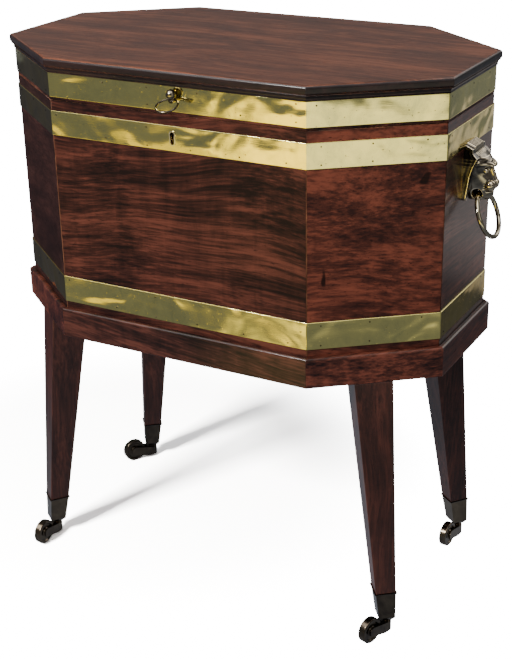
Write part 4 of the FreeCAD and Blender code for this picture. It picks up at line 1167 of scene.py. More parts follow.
@dataclass
class Bands:
    """The three brass bands, their fixing pins and the keyhole.

    Attributes:
        workshop: dresses and places the pieces.
        outline: the coffer's outline.
        thickness: thickness of the sheet.
        edge: radius of the sheet's edges.
        edge_steps: points round an edge.
        face_rows: points up the outer face.
        face_inset: the outermost of them stay this many edge radii away from the edge.
        smooth_angle: angle in degrees up to which the sheet is shaded smooth.
        wave: height of the hand-beaten waviness.
        wavelengths: lengths of its waves.
        wave_slant: how far a wave may lean.
        wave_total: the sum of all waves that counts as the full height.
        seed: where the random draws start.
        pin_radius: radius of a pin's head.
        pin_rise: height of a pin's head.
        pin_sunk: how far a head's rim is sunk into the sheet.
        pin_rings: rings of points on a head.
        pin_turn: points in a ring.
        pin_pole: angle of the innermost ring.
        pin_spacing: distance between pins along a side.
        pin_first: distance of the first pin from a side's start.
        pin_last: least distance of the last one from its end.
        pin_shift: how far a side's pins may be shifted together.
        pin_stray: how far a pin may stray along the side.
        pin_margin: least distance of a strayed pin from a side's ends.
        pin_inset: distance of the pins from the band's edges.
        pin_lift: how far a pin may stray up or down.
        pin_missing: share of the pins that can't be seen.
        keyhole_margin: what the eye of the hole is narrower than its liner, on each side.
        keyhole_slot: what the slot is narrower than the liner, on each side.
        keyhole_steps: points round the hole.
        keyhole_reach: how far the cut reaches to each side of the liner's front.
    """

    workshop: Workshop
    outline: CofferOutline
    thickness: float = 0.0012
    edge: float = 0.0004
    edge_steps: int = 4
    face_rows: int = 9
    face_inset: float = 1.8
    smooth_angle: float = 50.0
    wave: float = 0.00016
    wavelengths: tuple = (0.21, 0.13, 0.083, 0.047, 0.031)
    wave_slant: float = 1.2
    wave_total: float = 0.35
    seed: int = 7
    pin_radius: float = 0.0010
    pin_rise: float = 0.0003
    pin_sunk: float = 0.00006
    pin_rings: int = 3
    pin_turn: int = 8
    pin_pole: float = 0.12
    pin_spacing: float = 0.062
    pin_first: float = 0.012
    pin_last: float = 0.008
    pin_shift: float = 0.006
    pin_stray: float = 0.005
    pin_margin: float = 0.006
    pin_inset: float = 0.0045
    pin_lift: float = 0.0012
    pin_missing: float = 0.45
    keyhole_margin: float = 0.0001
    keyhole_slot: float = 0.0004
    keyhole_steps: int = 24
    keyhole_reach: float = 0.01

    def section(self, bottom: float, top: float) -> np.ndarray:
        """Closed section of a band: reach beyond the boards and height, with rounded outer edges.

        The outer face is sampled evenly, and each outer edge is a quarter circle.

        Args:
            bottom: height of the lower edge.
            top: height of the upper edge.

        Returns:
            An array of reach and height.
        """
        quarter = np.linspace(0, math.pi / 2, self.edge_steps)
        reach = self.thickness - self.edge
        low = np.stack([reach + self.edge * np.sin(quarter), bottom + self.edge * (1 - np.cos(quarter))], 1)
        inset = self.edge * self.face_inset
        rows = np.linspace(bottom + inset, top - inset, self.face_rows)
        face = np.stack([np.full(rows.size, self.thickness), rows], 1)
        high = np.stack([reach + self.edge * np.cos(quarter), top - self.edge * (1 - np.sin(quarter))], 1)
        return np.concatenate([[[0.0, bottom]], low, face, high, [[0.0, top]]])

    def waviness(self, distance: np.ndarray, height: np.ndarray) -> np.ndarray:
        """Height of the beaten waviness: a sum of slanted sines, each as strong as it is long.

        Args:
            distance: way round the outline.
            height: height over the floor.

        Returns:
            The waviness as a share of the full height.
        """
        rng = np.random.default_rng(self.seed)
        total = np.zeros(np.broadcast(distance, height).shape)
        for wavelength in self.wavelengths:
            phase, slant = rng.uniform(0, FULL_TURN), rng.uniform(-self.wave_slant, self.wave_slant)
            total += np.sin(FULL_TURN * (distance + slant * height) / wavelength + phase) * wavelength
        return total / self.wave_total

    def band(self, node: str) -> bpy.types.Object:
        """A band as its section carried round the bent outline, then moved out by the waviness.

        Args:
            node: the frame's band.

        Returns:
            The band.
        """
        low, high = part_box(node)
        points, directions = self.outline.path()
        section = self.section(low.z, high.z)
        steps = np.linalg.norm(np.roll(points, -1, axis=0) - points, axis=1)
        distance = np.concatenate([[0.0], np.cumsum(steps)[:-1]])[:, None]
        reach, height = section[None, :, 0], section[None, :, 1]
        outside = reach > 0.0
        out = reach + self.wave * (self.waviness(distance, height) * outside - 1)
        plan = points[:, None, :] + directions[:, None, :] * out[..., None]
        levels = np.broadcast_to(height, out.shape)
        vertices = np.concatenate([plan, levels[..., None]], -1).reshape(-1, 3)
        faces = closed_grid_faces(len(points), len(section), True, True)
        piece = mesh_object(node + "_sheet", vertices, faces)
        piece.data.shade_smooth()
        piece.data.set_sharp_from_angle(angle=math.radians(self.smooth_angle))
        self.workshop.place(piece, node, Finish.BAND)
        return piece

    def cut_keyhole(self, piece: bpy.types.Object) -> None:
        """Cuts the keyhole through the upper band, to the outside of its liner.

        The hole's outline is an eye above and a slightly narrower one below, joined by straight
        sides: half the width times the angle's sine, and the eye's radius times its cosine, moved
        up or down to the middle of its eye.

        Args:
            piece: the upper band.
        """
        low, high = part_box("keyhole_liner")
        half = (high.x - low.x) / 2
        eye = half - self.keyhole_margin
        angles = np.linspace(0, FULL_TURN, self.keyhole_steps, endpoint=False)
        upper = np.cos(angles) > 0
        across = np.sin(angles) * np.where(upper, eye, half - self.keyhole_slot)
        middle = (high.z - low.z) / 2 - eye
        up = np.cos(angles) * eye + np.sign(np.cos(angles)) * middle + (high.z + low.z) / 2
        front = np.stack([across, np.full(angles.size, low.y - self.keyhole_reach), up], 1)
        back = front + (0.0, 2 * self.keyhole_reach, 0.0)
        sides = closed_grid_faces(2, angles.size, False, True).tolist()
        ends = [list(range(angles.size)), list(range(2 * angles.size - 1, angles.size - 1, -1))]
        cutter = mesh_object("keyhole_cutter", np.concatenate([front, back]), sides + ends)
        shape = bmesh.new()
        shape.from_mesh(cutter.data)
        bmesh.ops.recalc_face_normals(shape, faces=shape.faces)
        shape.to_mesh(cutter.data)
        shape.free()
        hole = piece.modifiers.new("keyhole", "BOOLEAN")
        hole.operation = "DIFFERENCE"
        hole.object = cutter
        hole.solver = "EXACT"
        settled_mesh(piece)
        bpy.data.objects.remove(cutter)

    def pin_places(self, node: str) -> np.ndarray:
        """Where a band's pins sit: near its edges, unevenly spaced.

        Args:
            node: the frame's band.

        Returns:
            A row for each pin: its middle's X and Y, the side's direction, its normal, and the height.
        """
        low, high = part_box(node)
        rng = np.random.default_rng(len(node) + self.seed)
        corners = self.outline.corners()
        rows = []
        for start, end, normal in zip(corners, np.roll(corners, -1, axis=0), self.outline.normals()):
            length = np.linalg.norm(end - start)
            along = (end - start) / length
            spots = np.arange(self.pin_first, length - self.pin_last, self.pin_spacing)
            for spot in spots + rng.uniform(-self.pin_shift, self.pin_shift):
                strayed = spot + rng.uniform(-self.pin_stray, self.pin_stray)
                middle = start + along * np.clip(strayed, self.pin_margin, length - self.pin_margin)
                for level in (low.z + self.pin_inset, high.z - self.pin_inset):
                    if rng.random() >= self.pin_missing:
                        height = level + rng.uniform(-self.pin_lift, self.pin_lift)
                        rows.append((*middle, *along, *normal, height))
        return np.array(rows)

    def pins(self, node: str) -> None:
        """Domed heads of the pins that fix a band.

        A head is a cap: rings of points at radius r sin(t) and height h cos(t) over the sheet.

        Args:
            node: the frame's band.
        """
        rings = np.linspace(self.pin_pole, math.pi / 2, self.pin_rings)
        turns = np.linspace(0, FULL_TURN, self.pin_turn, endpoint=False)
        ring, turn = (grid.ravel()[None, :, None] for grid in np.meshgrid(rings, turns, indexing="ij"))
        rows = self.pin_places(node)[:, None, :]
        middle, along, normal, height = rows[..., :2], rows[..., 2:4], rows[..., 4:6], rows[..., 6:]
        out = self.thickness + self.pin_rise * np.cos(ring) - self.pin_sunk
        plan = middle + along * self.pin_radius * np.sin(ring) * np.cos(turn) + normal * out
        level = height + self.pin_radius * np.sin(ring) * np.sin(turn)
        vertices = np.concatenate([plan, level], -1)
        count, points = vertices.shape[:2]
        faces = repeated_faces(closed_grid_faces(self.pin_rings, self.pin_turn, False, True), count, points)
        faces += repeated_faces(np.arange(self.pin_turn)[None, ::-1], count, points)
        piece = mesh_object(node + "_pins", vertices.reshape(-1, 3), faces)
        piece.data.shade_smooth()
        self.workshop.place(piece, node, Finish.PIN, replaces=False)

    def build(self) -> None:
        """Makes the bands, their pins and the keyhole."""
        for node in ("lid_band", "upper_body_band", "lower_body_band"):
            piece = self.band(node)
            if node == "upper_body_band":
                self.cut_keyhole(piece)
            self.pins(node)


@dataclass
class Joinery:
    """The mahogany boards of the coffer, the lid and the stand, with worn arrises.

    Attributes:
        workshop: dresses and places the pieces.
        wear: width of the wear on the coffer's arrises.
        lid_wear: width of the wear on the lid's arrises.
        leg_wear: width of the wear on the legs' arrises.
        moulding_wear: width of the wear on the lid moulding's arrises.
        shortest: edges shorter than this keep their arris.
        upright: a face of the lid's board is one of its edges, and gets the painted shade of the shaded
            rim, if its normal rises less than this.
    """

    workshop: Workshop
    wear: float = 0.0007
    lid_wear: float = 0.0014
    leg_wear: float = 0.0010
    moulding_wear: float = 0.0005
    shortest: float = 0.02
    upright: float = 0.7

    def build(self) -> None:
        """Dresses every wooden node."""
        boards = {
            "front_panel": Finish.FRONT,
            "back_panel": Finish.FRONT,
            "right_end_panel": Finish.END,
            "left_end_panel": Finish.END,
            "apron_front_rail": Finish.APRON,
            "apron_back_rail": Finish.APRON,
            "apron_end_rails": Finish.END,
            # The lit cant finish paints light on two cant boards; the shaded one paints shade on the other
            # two.
            "front_right_cant_panel": Finish.LIT_CANT,
            "back_left_cant_panel": Finish.LIT_CANT,
            "front_left_cant_panel": Finish.SHADED_CANT,
            "back_right_cant_panel": Finish.SHADED_CANT,
            # The corner blocks take the apron cant finish, painted lighter like the lit cants.
            "apron_corner_blocks": Finish.APRON_CANT,
        }
        for node, finish in boards.items():
            # Panels take the arris finish on their worn arrises: partly wear, partly painted highlight.
            arris = Finish.ARRIS_WEAR_AND_HIGHLIGHT if node.endswith("panel") else None
            self.workshop.worn(node, finish, self.wear, self.shortest, arris)
        self.lid_board()
        for corner in CORNERS:
            self.workshop.worn(corner + "_leg", Finish.LEG, self.leg_wear, self.shortest)
        # The lid's moulding takes the shaded rim, painted shade, and the arris finish on its worn arrises.
        moulding = "lid_cove_moulding"
        self.workshop.worn(moulding, Finish.SHADED_RIM, self.moulding_wear, self.shortest, Finish.ARRIS_WEAR_AND_HIGHLIGHT)
        inside = ("lid_rim_boards", "bottom_board", "long_dividers", "cross_dividers")
        self.workshop.finish_nodes(Finish.FRONT, *inside)

    def lid_board(self) -> None:
        """The lid's board as three materials: a top in lighter colours, painted light; worn arrises in
        lighter colours, partly wear and partly painted highlight; upright edges in the shaded rim, painted
        shade.
        """
        node, arris = "lid_top_board", Finish.LID_ARRIS_WEAR_AND_HIGHLIGHT
        board = self.workshop.worn(node, Finish.LID, self.lid_wear, self.shortest, arris)
        board.data.materials.append(self.workshop.materials[Finish.SHADED_RIM])
        rising = np.abs(read_array(board.data.polygons, "normal", 3)[:, 2])
        shaded_edge_slot = len(board.data.materials) - 1
        # Upright faces take the shaded rim: painted shade on the board's edges.
        slots = (rising < self.upright).astype(np.int32) * shaded_edge_slot
        board.data.polygons.foreach_set("material_index", slots)


# Masks and fittings


@dataclass(frozen=True)
class MaskPlaces:
    """Where the points of a mask lie, in millimetres.

    Attributes:
        reach: distance from the wall.
        side: distance from the mask's middle.
        height: height over the mask's foot.
        facing: how far the surface faces away from the wall, from 0 to 1.
    """

    reach: np.ndarray
    side: np.ndarray
    height: np.ndarray
    facing: np.ndarray


def rise(values: np.ndarray, start: float, width: float) -> np.ndarray:
    """Share that grows evenly from 0 at the start to 1 a width further on."""
    return np.clip((values - start) / width, 0, 1)


def bell(values: np.ndarray, middle: float, width: float) -> np.ndarray:
    """Bell curve: e to the minus square of the distance from the middle over the width."""
    return np.exp(-(((values - middle) / width) ** 2))


def waves(values: np.ndarray, pitch: float) -> np.ndarray:
    """Waves from 0 to 1: one half plus half the cosine of a full turn for each pitch."""
    return 0.5 + 0.5 * np.cos(FULL_TURN * values / pitch)


@dataclass(frozen=True)
class Carving:
    """The carver's work on a lion mask, in millimetres, as the depths of its grooves.

    Attributes:
        mane_side: distance from the middle where the mane begins.
        mane_fade: width over which its grooves begin.
        mane_reach: reach over which its grooves begin.
        lock_depth: depth of the grooves between the mane's locks.
        lock_run: how reach, height and side add up across the locks of the mane's flanks.
        lock_pitch: distance between these locks.
        front_pitch: distance between the locks on the mane's front.
        front_sway: how far the locks on the front sway.
        front_turn: how fast they sway over the height, in radians.
        brow_height: height of the middle of the brow's folds.
        brow_spread: how far the folds spread up and down.
        brow_reach: reach where the folds begin, and over which they set in.
        fold_depth: depth of the folds.
        fold_pitch: distance between them.
        fold_slant: how they rise to the side.
        crest_height: height where the crest's grooves begin, and over which they set in.
        crest_reach: reach where they begin, and over which they set in.
        crest_half: half the width of the grooved crest.
        crest_depth: depth of the grooves.
        crest_pitch: distance between them.
        eye: reach, side and height of an eye's middle.
        eye_radius: radius within which the pupil lies.
        lid_radius: radius of the groove round an eye.
        lid_width: width of that groove.
        lid_depth: its depth.
        pupil_radius: radius of a pupil.
        pupil_depth: its depth.
        whisker_rows: heights of the rows of whisker pits.
        whisker_height: height of a pit.
        whisker_pitch: distance between pits.
        whisker_middle: side of the row's middle pit.
        whisker_sides: the pits' least and greatest distance from the middle.
        whisker_reach: reach beyond which pits are made.
        whisker_depth: depth of a pit.
        nostril: side and height of a nostril.
        nostril_size: its half width and half height.
        nostril_reach: reach beyond which it is made.
        nostril_depth: its depth.
        lean_height: height where the crest begins to lean back, and over which it does.
        lean_reach: reach over which it does.
        lean: share of the reach by which it leans back.
    """

    mane_side: float = 18.2
    mane_fade: float = 2.0
    mane_reach: float = 1.5
    lock_depth: float = 0.12
    lock_run: Triple = (0.9, -0.22, 0.5)
    lock_pitch: float = 5.2
    front_pitch: float = 4.3
    front_sway: float = 1.6
    front_turn: float = 0.42
    brow_height: float = 47.0
    brow_spread: float = 5.0
    brow_reach: tuple = (14.0, 6.0)
    fold_depth: float = 0.30
    fold_pitch: float = 4.2
    fold_slant: float = 0.25
    crest_height: tuple = (54.0, 3.0)
    crest_reach: tuple = (3.0, 3.0)
    crest_half: float = 14.0
    crest_depth: float = 1.0
    crest_pitch: float = 3.5
    eye: Triple = (23.0, 9.0, 35.5)
    eye_radius: float = 4.0
    lid_radius: float = 4.3
    lid_width: float = 0.6
    lid_depth: float = 0.9
    pupil_radius: float = 1.1
    pupil_depth: float = 0.6
    whisker_rows: Triple = (14.5, 17.5, 20.5)
    whisker_height: float = 0.7
    whisker_pitch: float = math.pi
    whisker_middle: float = 7.5
    whisker_sides: tuple = (4.5, 12.0)
    whisker_reach: float = 26.0
    whisker_depth: float = 0.35
    nostril: tuple = (3.0, 19.6)
    nostril_size: tuple = (1.2, 1.0)
    nostril_reach: float = 31.0
    nostril_depth: float = 1.3
    lean_height: tuple = (52.0, 6.0)
    lean_reach: float = 6.0
    lean: float = 0.2

    def mane(self, at: MaskPlaces) -> np.ndarray:
        """Grooves between locks: slanted waves on the flanks and swaying ones on the front.

        Args:
            at: the places.

        Returns:
            The depth.
        """
        share = rise(at.side, self.mane_side, self.mane_fade) * rise(at.reach, 0.0, self.mane_reach)
        run = np.stack([at.reach, at.height, at.side], 1) @ self.lock_run
        flank = np.sin(FULL_TURN * run / self.lock_pitch)
        swayed = at.side + self.front_sway * np.sin(at.height * self.front_turn)
        front = np.sin(FULL_TURN * swayed / self.front_pitch)
        return self.lock_depth * share * (0.5 + 0.5 * (flank * (1 - at.facing) + front * at.facing))

    def brow_and_crest(self, at: MaskPlaces) -> np.ndarray:
        """Folds over the brow and grooves in the crest, both as waves that set in evenly.

        Args:
            at: the places.

        Returns:
            The depth.
        """
        brow = bell(at.height, self.brow_height, self.brow_spread) * rise(at.reach, *self.brow_reach)
        folds = self.fold_depth * brow * waves(at.height + self.fold_slant * at.side, self.fold_pitch)
        crest = rise(at.height, *self.crest_height) * rise(at.reach, *self.crest_reach)
        crest *= (at.side < self.crest_half) * waves(at.side, self.crest_pitch)
        return folds + self.crest_depth * crest

    def eyes(self, at: MaskPlaces) -> np.ndarray:
        """A round groove for the lids of each eye and a pit for its pupil, as bell curves.

        Args:
            at: the places.

        Returns:
            The depth.
        """
        reach, side, height = self.eye
        distance = np.sqrt((at.reach - reach) ** 2 + (at.side - side) ** 2 + (at.height - height) ** 2)
        lids = self.lid_depth * bell(distance, self.lid_radius, self.lid_width)
        pupil = bell(at.side, side, self.pupil_radius) * bell(at.height, height, self.pupil_radius)
        return lids + self.pupil_depth * pupil * (distance < self.eye_radius)

    def muzzle(self, at: MaskPlaces) -> np.ndarray:
        """Rows of whisker pits and the nostrils, as bell curves.

        Args:
            at: the places.

        Returns:
            The depth.
        """
        rows = sum(bell(at.height, row, self.whisker_height) for row in self.whisker_rows)
        near, far = self.whisker_sides
        whiskered = (at.reach > self.whisker_reach) & (at.side > near) & (at.side < far)
        pits = self.whisker_depth * rows * waves(at.side - self.whisker_middle, self.whisker_pitch)
        (side, height), (half_width, half_height) = self.nostril, self.nostril_size
        nostrils = bell(at.side, side, half_width) * bell(at.height, height, half_height)
        return pits * whiskered + self.nostril_depth * nostrils * (at.reach > self.nostril_reach)

    def depth(self, at: MaskPlaces) -> np.ndarray:
        """Depth of all the grooves together."""
        return self.mane(at) + self.brow_and_crest(at) + self.eyes(at) + self.muzzle(at)

    def lean_back(self, at: MaskPlaces) -> np.ndarray:
        """How far the crest leans back to the wall: a share of its reach that grows with the height."""
        share = rise(at.height, *self.lean_height) * rise(at.reach, 0.0, self.lean_reach)
        return self.lean * at.reach * share


@dataclass
class LionMasks:
    """The two cast lion masks: the plain casting modelled full, with locks, wrinkles, eyes and nostrils.

    A form is a row of balls along a path. Each stop of a path gives the reach from the wall, the distance
    to the side, the height over the mask's foot and the ball's radius, in millimetres.

    Attributes:
        workshop: dresses and places the pieces.
        carving: the carver's work.
        voxel: size of the casting's finest grain.
        smoothing: how strongly the casting is smoothed.
        smoothing_rounds: how often it is smoothed.
        step: distance between the balls of a form, in millimetres.
        rings: rings of points on a ball.
        turn: points in a ring.
        pole: angle of the outermost rings.
        forms: the forms of one side of the face, also made on the other side.
    """

    workshop: Workshop
    carving: Carving = Carving()
    voxel: float = 0.00050
    smoothing: float = 0.5
    smoothing_rounds: int = 7
    step: float = 0.8
    rings: int = 9
    turn: int = 12
    pole: float = 0.05
    forms: tuple = (
        ((9, 3.5, 56, 7), (15, 4.0, 51.5, 8), (22.5, 4.5, 43.5, 8)),  # forehead
        ((27.0, 4.0, 41.0, 4.2), (22, 11, 43.5, 4.6), (15, 15.0, 45.5, 4.2)),  # brow
        ((18, 10, 29, 7), (19.5, 10, 23, 7.5)),  # cheek
        ((23, 0, 41, 4.6), (28.6, 0, 32, 4.3), (31.4, 0, 25, 4.6)),  # bridge of the nose
        ((31.0, 0, 22.5, 4.6), (30.5, 3.2, 20.8, 3.4)),  # tip of the nose
        ((27.5, 4.5, 17.0, 6.4), (24, 8, 18, 5.4)),  # muzzle
        ((26, 0, 7.0, 4.2), (22, 3, 6.0, 4.2)),  # chin
        ((28.6, 7.5, 12.2, 1.2), (24.6, 11.5, 14.6, 1.2), (20.0, 13.8, 18.4, 1.2)),  # lip
        ((7, 17.5, 55.0, 3.6), (11, 17.3, 52.0, 3.4)),  # ear
    )

    def build(self) -> None:
        """Makes both masks and finishes their rings."""
        for side, sign in (("right", 1.0), ("left", -1.0)):
            self.mask(side + "_lion_mask", sign)
            self.workshop.finish_nodes(Finish.RING, side + "_handle_ring")

    def balls(self) -> np.ndarray:
        """Reach, side, height and radius of every ball of every form, on both sides of the face.

        Between two stops, each of the four changes evenly along the path.

        Returns:
            An array with a row for each ball, in metres.
        """
        rows = []
        for form in self.forms:
            stops = np.array(form, float)
            lengths = np.linalg.norm(np.diff(stops[:, :3], axis=0), axis=1)
            travelled = np.concatenate([[0.0], np.cumsum(lengths)])
            places = np.linspace(0, travelled[-1], 2 + int(travelled[-1] / self.step))
            rows.append(np.stack([np.interp(places, travelled, column) for column in stops.T], 1))
        near = np.concatenate(rows)
        return np.concatenate([near, near * (1, -1, 1, 1)]) * MM

    def fullness(self, sign: float, origin: np.ndarray) -> bpy.types.Object:
        """The forms as one mesh of balls.

        A ball is a grid of latitude and longitude: radius times sin and cos of the two angles.

        Args:
            sign: 1 on the right end, -1 on the left.
            origin: the point of the wall at the middle of the mask's foot.

        Returns:
            The mesh's object.
        """
        latitudes = np.linspace(self.pole, math.pi - self.pole, self.rings)
        longitudes = np.linspace(0, FULL_TURN, self.turn, endpoint=False)
        latitude, longitude = np.meshgrid(latitudes, longitudes, indexing="ij")
        across = np.sin(latitude)
        ball = np.stack([across * np.cos(longitude), across * np.sin(longitude), np.cos(latitude)], -1)
        ball = ball.reshape(-1, 3)
        balls = self.balls()
        centres = origin + balls[:, :3] * (sign, 1, 1)
        vertices = (centres[:, None, :] + balls[:, 3, None, None] * ball[None]).reshape(-1, 3)
        first = np.arange(self.turn)
        ends = np.stack([first[::-1], first + (self.rings - 1) * self.turn])
        faces = repeated_faces(closed_grid_faces(self.rings, self.turn, False, True), len(balls), len(ball))
        faces += repeated_faces(ends, len(balls), len(ball))
        return mesh_object("forms", vertices, faces)

    def mask(self, node: str, sign: float) -> None:
        """One mask: the casting and its forms fused, smoothed and carved.

        Args:
            node: the frame's mask.
            sign: 1 on the right end, -1 on the left.
        """
        low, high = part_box(node)
        origin = np.array([low.x if sign > 0 else high.x, (low.y + high.y) / 2, low.z])
        piece = self.workshop.merged_copy(node, node + "_cast")
        forms = self.fullness(sign, origin)
        shape = bmesh.new()
        shape.from_mesh(piece.data)
        shape.from_mesh(forms.data)
        shape.to_mesh(piece.data)
        shape.free()
        bpy.data.objects.remove(forms)
        remesh = piece.modifiers.new("remesh", "REMESH")
        remesh.mode = "VOXEL"
        remesh.voxel_size = self.voxel
        smooth = piece.modifiers.new("smooth", "SMOOTH")
        smooth.factor = self.smoothing
        smooth.iterations = self.smoothing_rounds
        fine = settled_mesh(piece)
        self.carve(fine, sign, origin)
        fine.shade_smooth()
        self.workshop.place(piece, node, Finish.CASTING)

    def carve(self, mesh: bpy.types.Mesh, sign: float, origin: np.ndarray) -> None:
        """Carves the face and the mane into the casting.

        Each point moves in along its normal by the grooves' depth, and the crest's points move back.

        Args:
            mesh: the casting.
            sign: 1 on the right end, -1 on the left.
            origin: the point of the wall at the middle of the mask's foot.
        """
        points = read_array(mesh.vertices, "co", 3)
        normals = read_array(mesh.vertices, "normal", 3)
        reach, side, height = ((points - origin) * (sign, 1, 1) / MM).T
        at = MaskPlaces(reach, np.abs(side), height, np.abs(normals[:, 0]))
        points -= normals * self.carving.depth(at)[:, None] * MM
        points[:, 0] -= sign * self.carving.lean_back(at) * MM
        mesh.vertices.foreach_set("co", points.ravel())
        mesh.update()


@dataclass
class Fittings:
    """Metalwork that keeps the frame's own shape: knob, lock, hinges, liner, castors and screws.

    Attributes:
        workshop: dresses and places the pieces.
        castor_wear: width of the wear on the castor horns' arrises.
        castor_shortest: edges of the horns shorter than this keep their arris.
    """

    workshop: Workshop
    castor_wear: float = 0.0005
    castor_shortest: float = 0.002

    def build(self) -> None:
        """Dresses the metal nodes."""
        finish_nodes = self.workshop.finish_nodes
        finish_nodes(Finish.CASTING, "body_hinge_leaves", "lid_hinge_leaves")
        finish_nodes(Finish.CASTING, "lock_case", "lock_link_plate")
        finish_nodes(Finish.KNOB, "lid_knob", "knob_ring")
        finish_nodes(Finish.KEYHOLE, "keyhole_liner")
        finish_nodes(Finish.IRON, "stand_screws", "handle_nuts", "knob_nut", "hinge_pins", "lock_bolt")
        finish_nodes(Finish.ZINC, "metal_liner")
        for corner in CORNERS:
            castor = corner + "_castor_"
            finish_nodes(Finish.CASTOR, castor + "socket", castor + "axle", castor + "wheel")
            self.workshop.worn(castor + "horn", Finish.CASTOR, self.castor_wear, self.castor_shortest)


# Studio


@dataclass(frozen=True)
class Camera:
    """The camera, set by the direction of its view round the coffer.

    Attributes:
        azimuth: direction of the view round the coffer.
        elevation: height of the view over the horizon.
        roll: tilt of the camera about its own axis.
        distance: distance from the camera to the aim.
        aim: the point above the coffer's middle that the view turns about.
        aside: shift of the camera to its right.
        raised: shift of the camera to its top.
        lens: focal length in millimetres.
        sensor: width of the sensor in millimetres.
        sight: how far it sees.
    """

    azimuth: float = 0.50615
    elevation: float = 0.41553
    roll: float = -0.01927
    distance: float = 1.7460
    aim: Triple = (0.0, 0.0, 0.395)
    aside: float = 0.00763
    raised: float = -0.06964
    lens: float = 72.39
    sensor: float = 36.0
    sight: float = 50.0

    def build(self, centre_y: float) -> None:
        """Sets the camera up: its back, right and top directions come from the angles and the roll.

        Args:
            centre_y: Y of the coffer's middle.
        """
        sin_az, cos_az = math.sin(self.azimuth), math.cos(self.azimuth)
        sin_el, cos_el = math.sin(self.elevation), math.cos(self.elevation)
        back = Vector((sin_az * cos_el, -cos_az * cos_el, sin_el))
        level = Vector((cos_az, sin_az, 0.0))
        steep = back.cross(level)
        right = level * math.cos(self.roll) + steep * math.sin(self.roll)
        top = steep * math.cos(self.roll) - level * math.sin(self.roll)
        place = Vector(self.aim) + Vector((0, centre_y, 0))
        place += right * self.aside + top * self.raised + back * self.distance
        data = bpy.data.cameras.new("camera")
        data.lens = self.lens
        data.sensor_width = self.sensor
        data.clip_end = self.sight
        camera = linked_object("camera", data)
        turn = Matrix((right, top, back)).transposed().to_4x4()
        camera.matrix_world = Matrix.Translation(place) @ turn
        bpy.context.scene.camera = camera


@dataclass(frozen=True)
class Lamp:
    """A rectangular lamp.

    Attributes:
        name: the lamp's name.
        place: where it hangs.
        aim: the point it faces.
        size: its width and height.
        power: its power in watts.
        tint: its colour.
    """

    name: str
    place: Triple
    aim: Triple
    size: tuple[float, float]
    power: float
    tint: Triple

    def build(self) -> None:
        """Hangs the lamp."""
        data = bpy.data.lights.new(self.name, "AREA")
        data.shape = "RECTANGLE"
        data.size, data.size_y = self.size
        data.energy = self.power
        data.color = self.tint
        facing = Vector(self.aim) - Vector(self.place)
        turn = facing.to_track_quat("-Z", "Y").to_matrix().to_4x4()
        linked_object(self.name, data).matrix_world = Matrix.Translation(self.place) @ turn


LAMPS = (
    Lamp("key", (-0.75, -2.15, 2.0), (0, 0, 0.3), (0.6, 0.6), 124.0, (1.0, 0.98, 0.95)),
    Lamp("overhead", (0.0, 0.0, 2.8), (0, 0, 0.3), (2.6, 2.2), 4.0, (1.0, 0.99, 0.97)),
    Lamp("right_fill", (2.2, -1.3, 1.5), (0, 0, 0.45), (0.9, 1.2), 4.0, (1.0, 0.97, 0.92)),
)


@dataclass(frozen=True)
class Glow:
    """A round patch of light in reflections, which ends smoothly.

    Attributes:
        middle: its middle, a direction in the room or a point of the floor.
        inner: distance from the middle up to which it is full.
        outer: distance where it has ended.
        light: its brightness or its colour.
    """

    middle: Triple
    inner: float
    outer: float
    light: float | Triple

    def share(self, tree: Tree, place: Socket, ends: tuple = (1.0, 0.0)) -> Socket:
        """How full the patch is at a place.

        Args:
            tree: the node tree.
            place: the direction or point.
            ends: what it gives inside and outside.

        Returns:
            A value between the two ends.
        """
        return tree.fade(tree.distance(place, self.middle), (self.inner, self.outer), ends)


@dataclass(frozen=True)
class Room:
    """White surroundings for the view, and for reflections a dim room with a pale wall at the back left.

    Attributes:
        white: brightness of the surroundings to the view.
        fill: brightness of the room's scattered light.
        fill_tint: its colour.
        room_glow: brightness of the room in reflections.
        room_tint: its colour.
        wall: the pale wall.
        ceilings: the pale patches overhead.
    """

    white: float = 18.0
    fill: float = 0.06
    fill_tint: Triple = (0.92, 0.95, 1.0)
    room_glow: float = 0.18
    room_tint: Triple = (1.0, 0.97, 0.94)
    wall: Glow = Glow((-0.456, 0.822, 0.342), 0.25, 1.05, 0.20)
    ceilings: tuple = (
        Glow((0.30, -0.35, 0.89), 0.30, 0.45, 3.0),
        Glow((0.33, 0.76, 0.56), 0.25, 0.5, 2.2),
        Glow((-0.44, -0.38, 0.80), 0.20, 0.40, 7.0),
    )

    def build(self) -> None:
        """Sets up the world."""
        world = bpy.data.worlds.new("room")
        world.use_nodes = True
        bpy.context.scene.world = world
        tree = Tree(world.node_tree)
        rays = tree.add("ShaderNodeLightPath")
        direction = tree.add("ShaderNodeTexCoord").outputs["Generated"]
        glow = self.wall.share(tree, direction, (self.wall.light, self.room_glow))
        for patch in self.ceilings:
            glow = tree.math("ADD", glow, patch.share(tree, direction, (patch.light, 0.0)))
        view = tree.add("ShaderNodeBackground", Color=WHITE, Strength=self.white)
        fill = tree.add("ShaderNodeBackground", Color=(*self.fill_tint, 1.0), Strength=self.fill)
        room = tree.add("ShaderNodeBackground", Color=(*self.room_tint, 1.0), Strength=glow)
        unseen = tree.choose(rays.outputs["Is Glossy Ray"], fill, room)
        both = tree.choose(rays.outputs["Is Camera Ray"], unseen, view)
        tree.add("ShaderNodeOutputWorld", both.outputs[0])


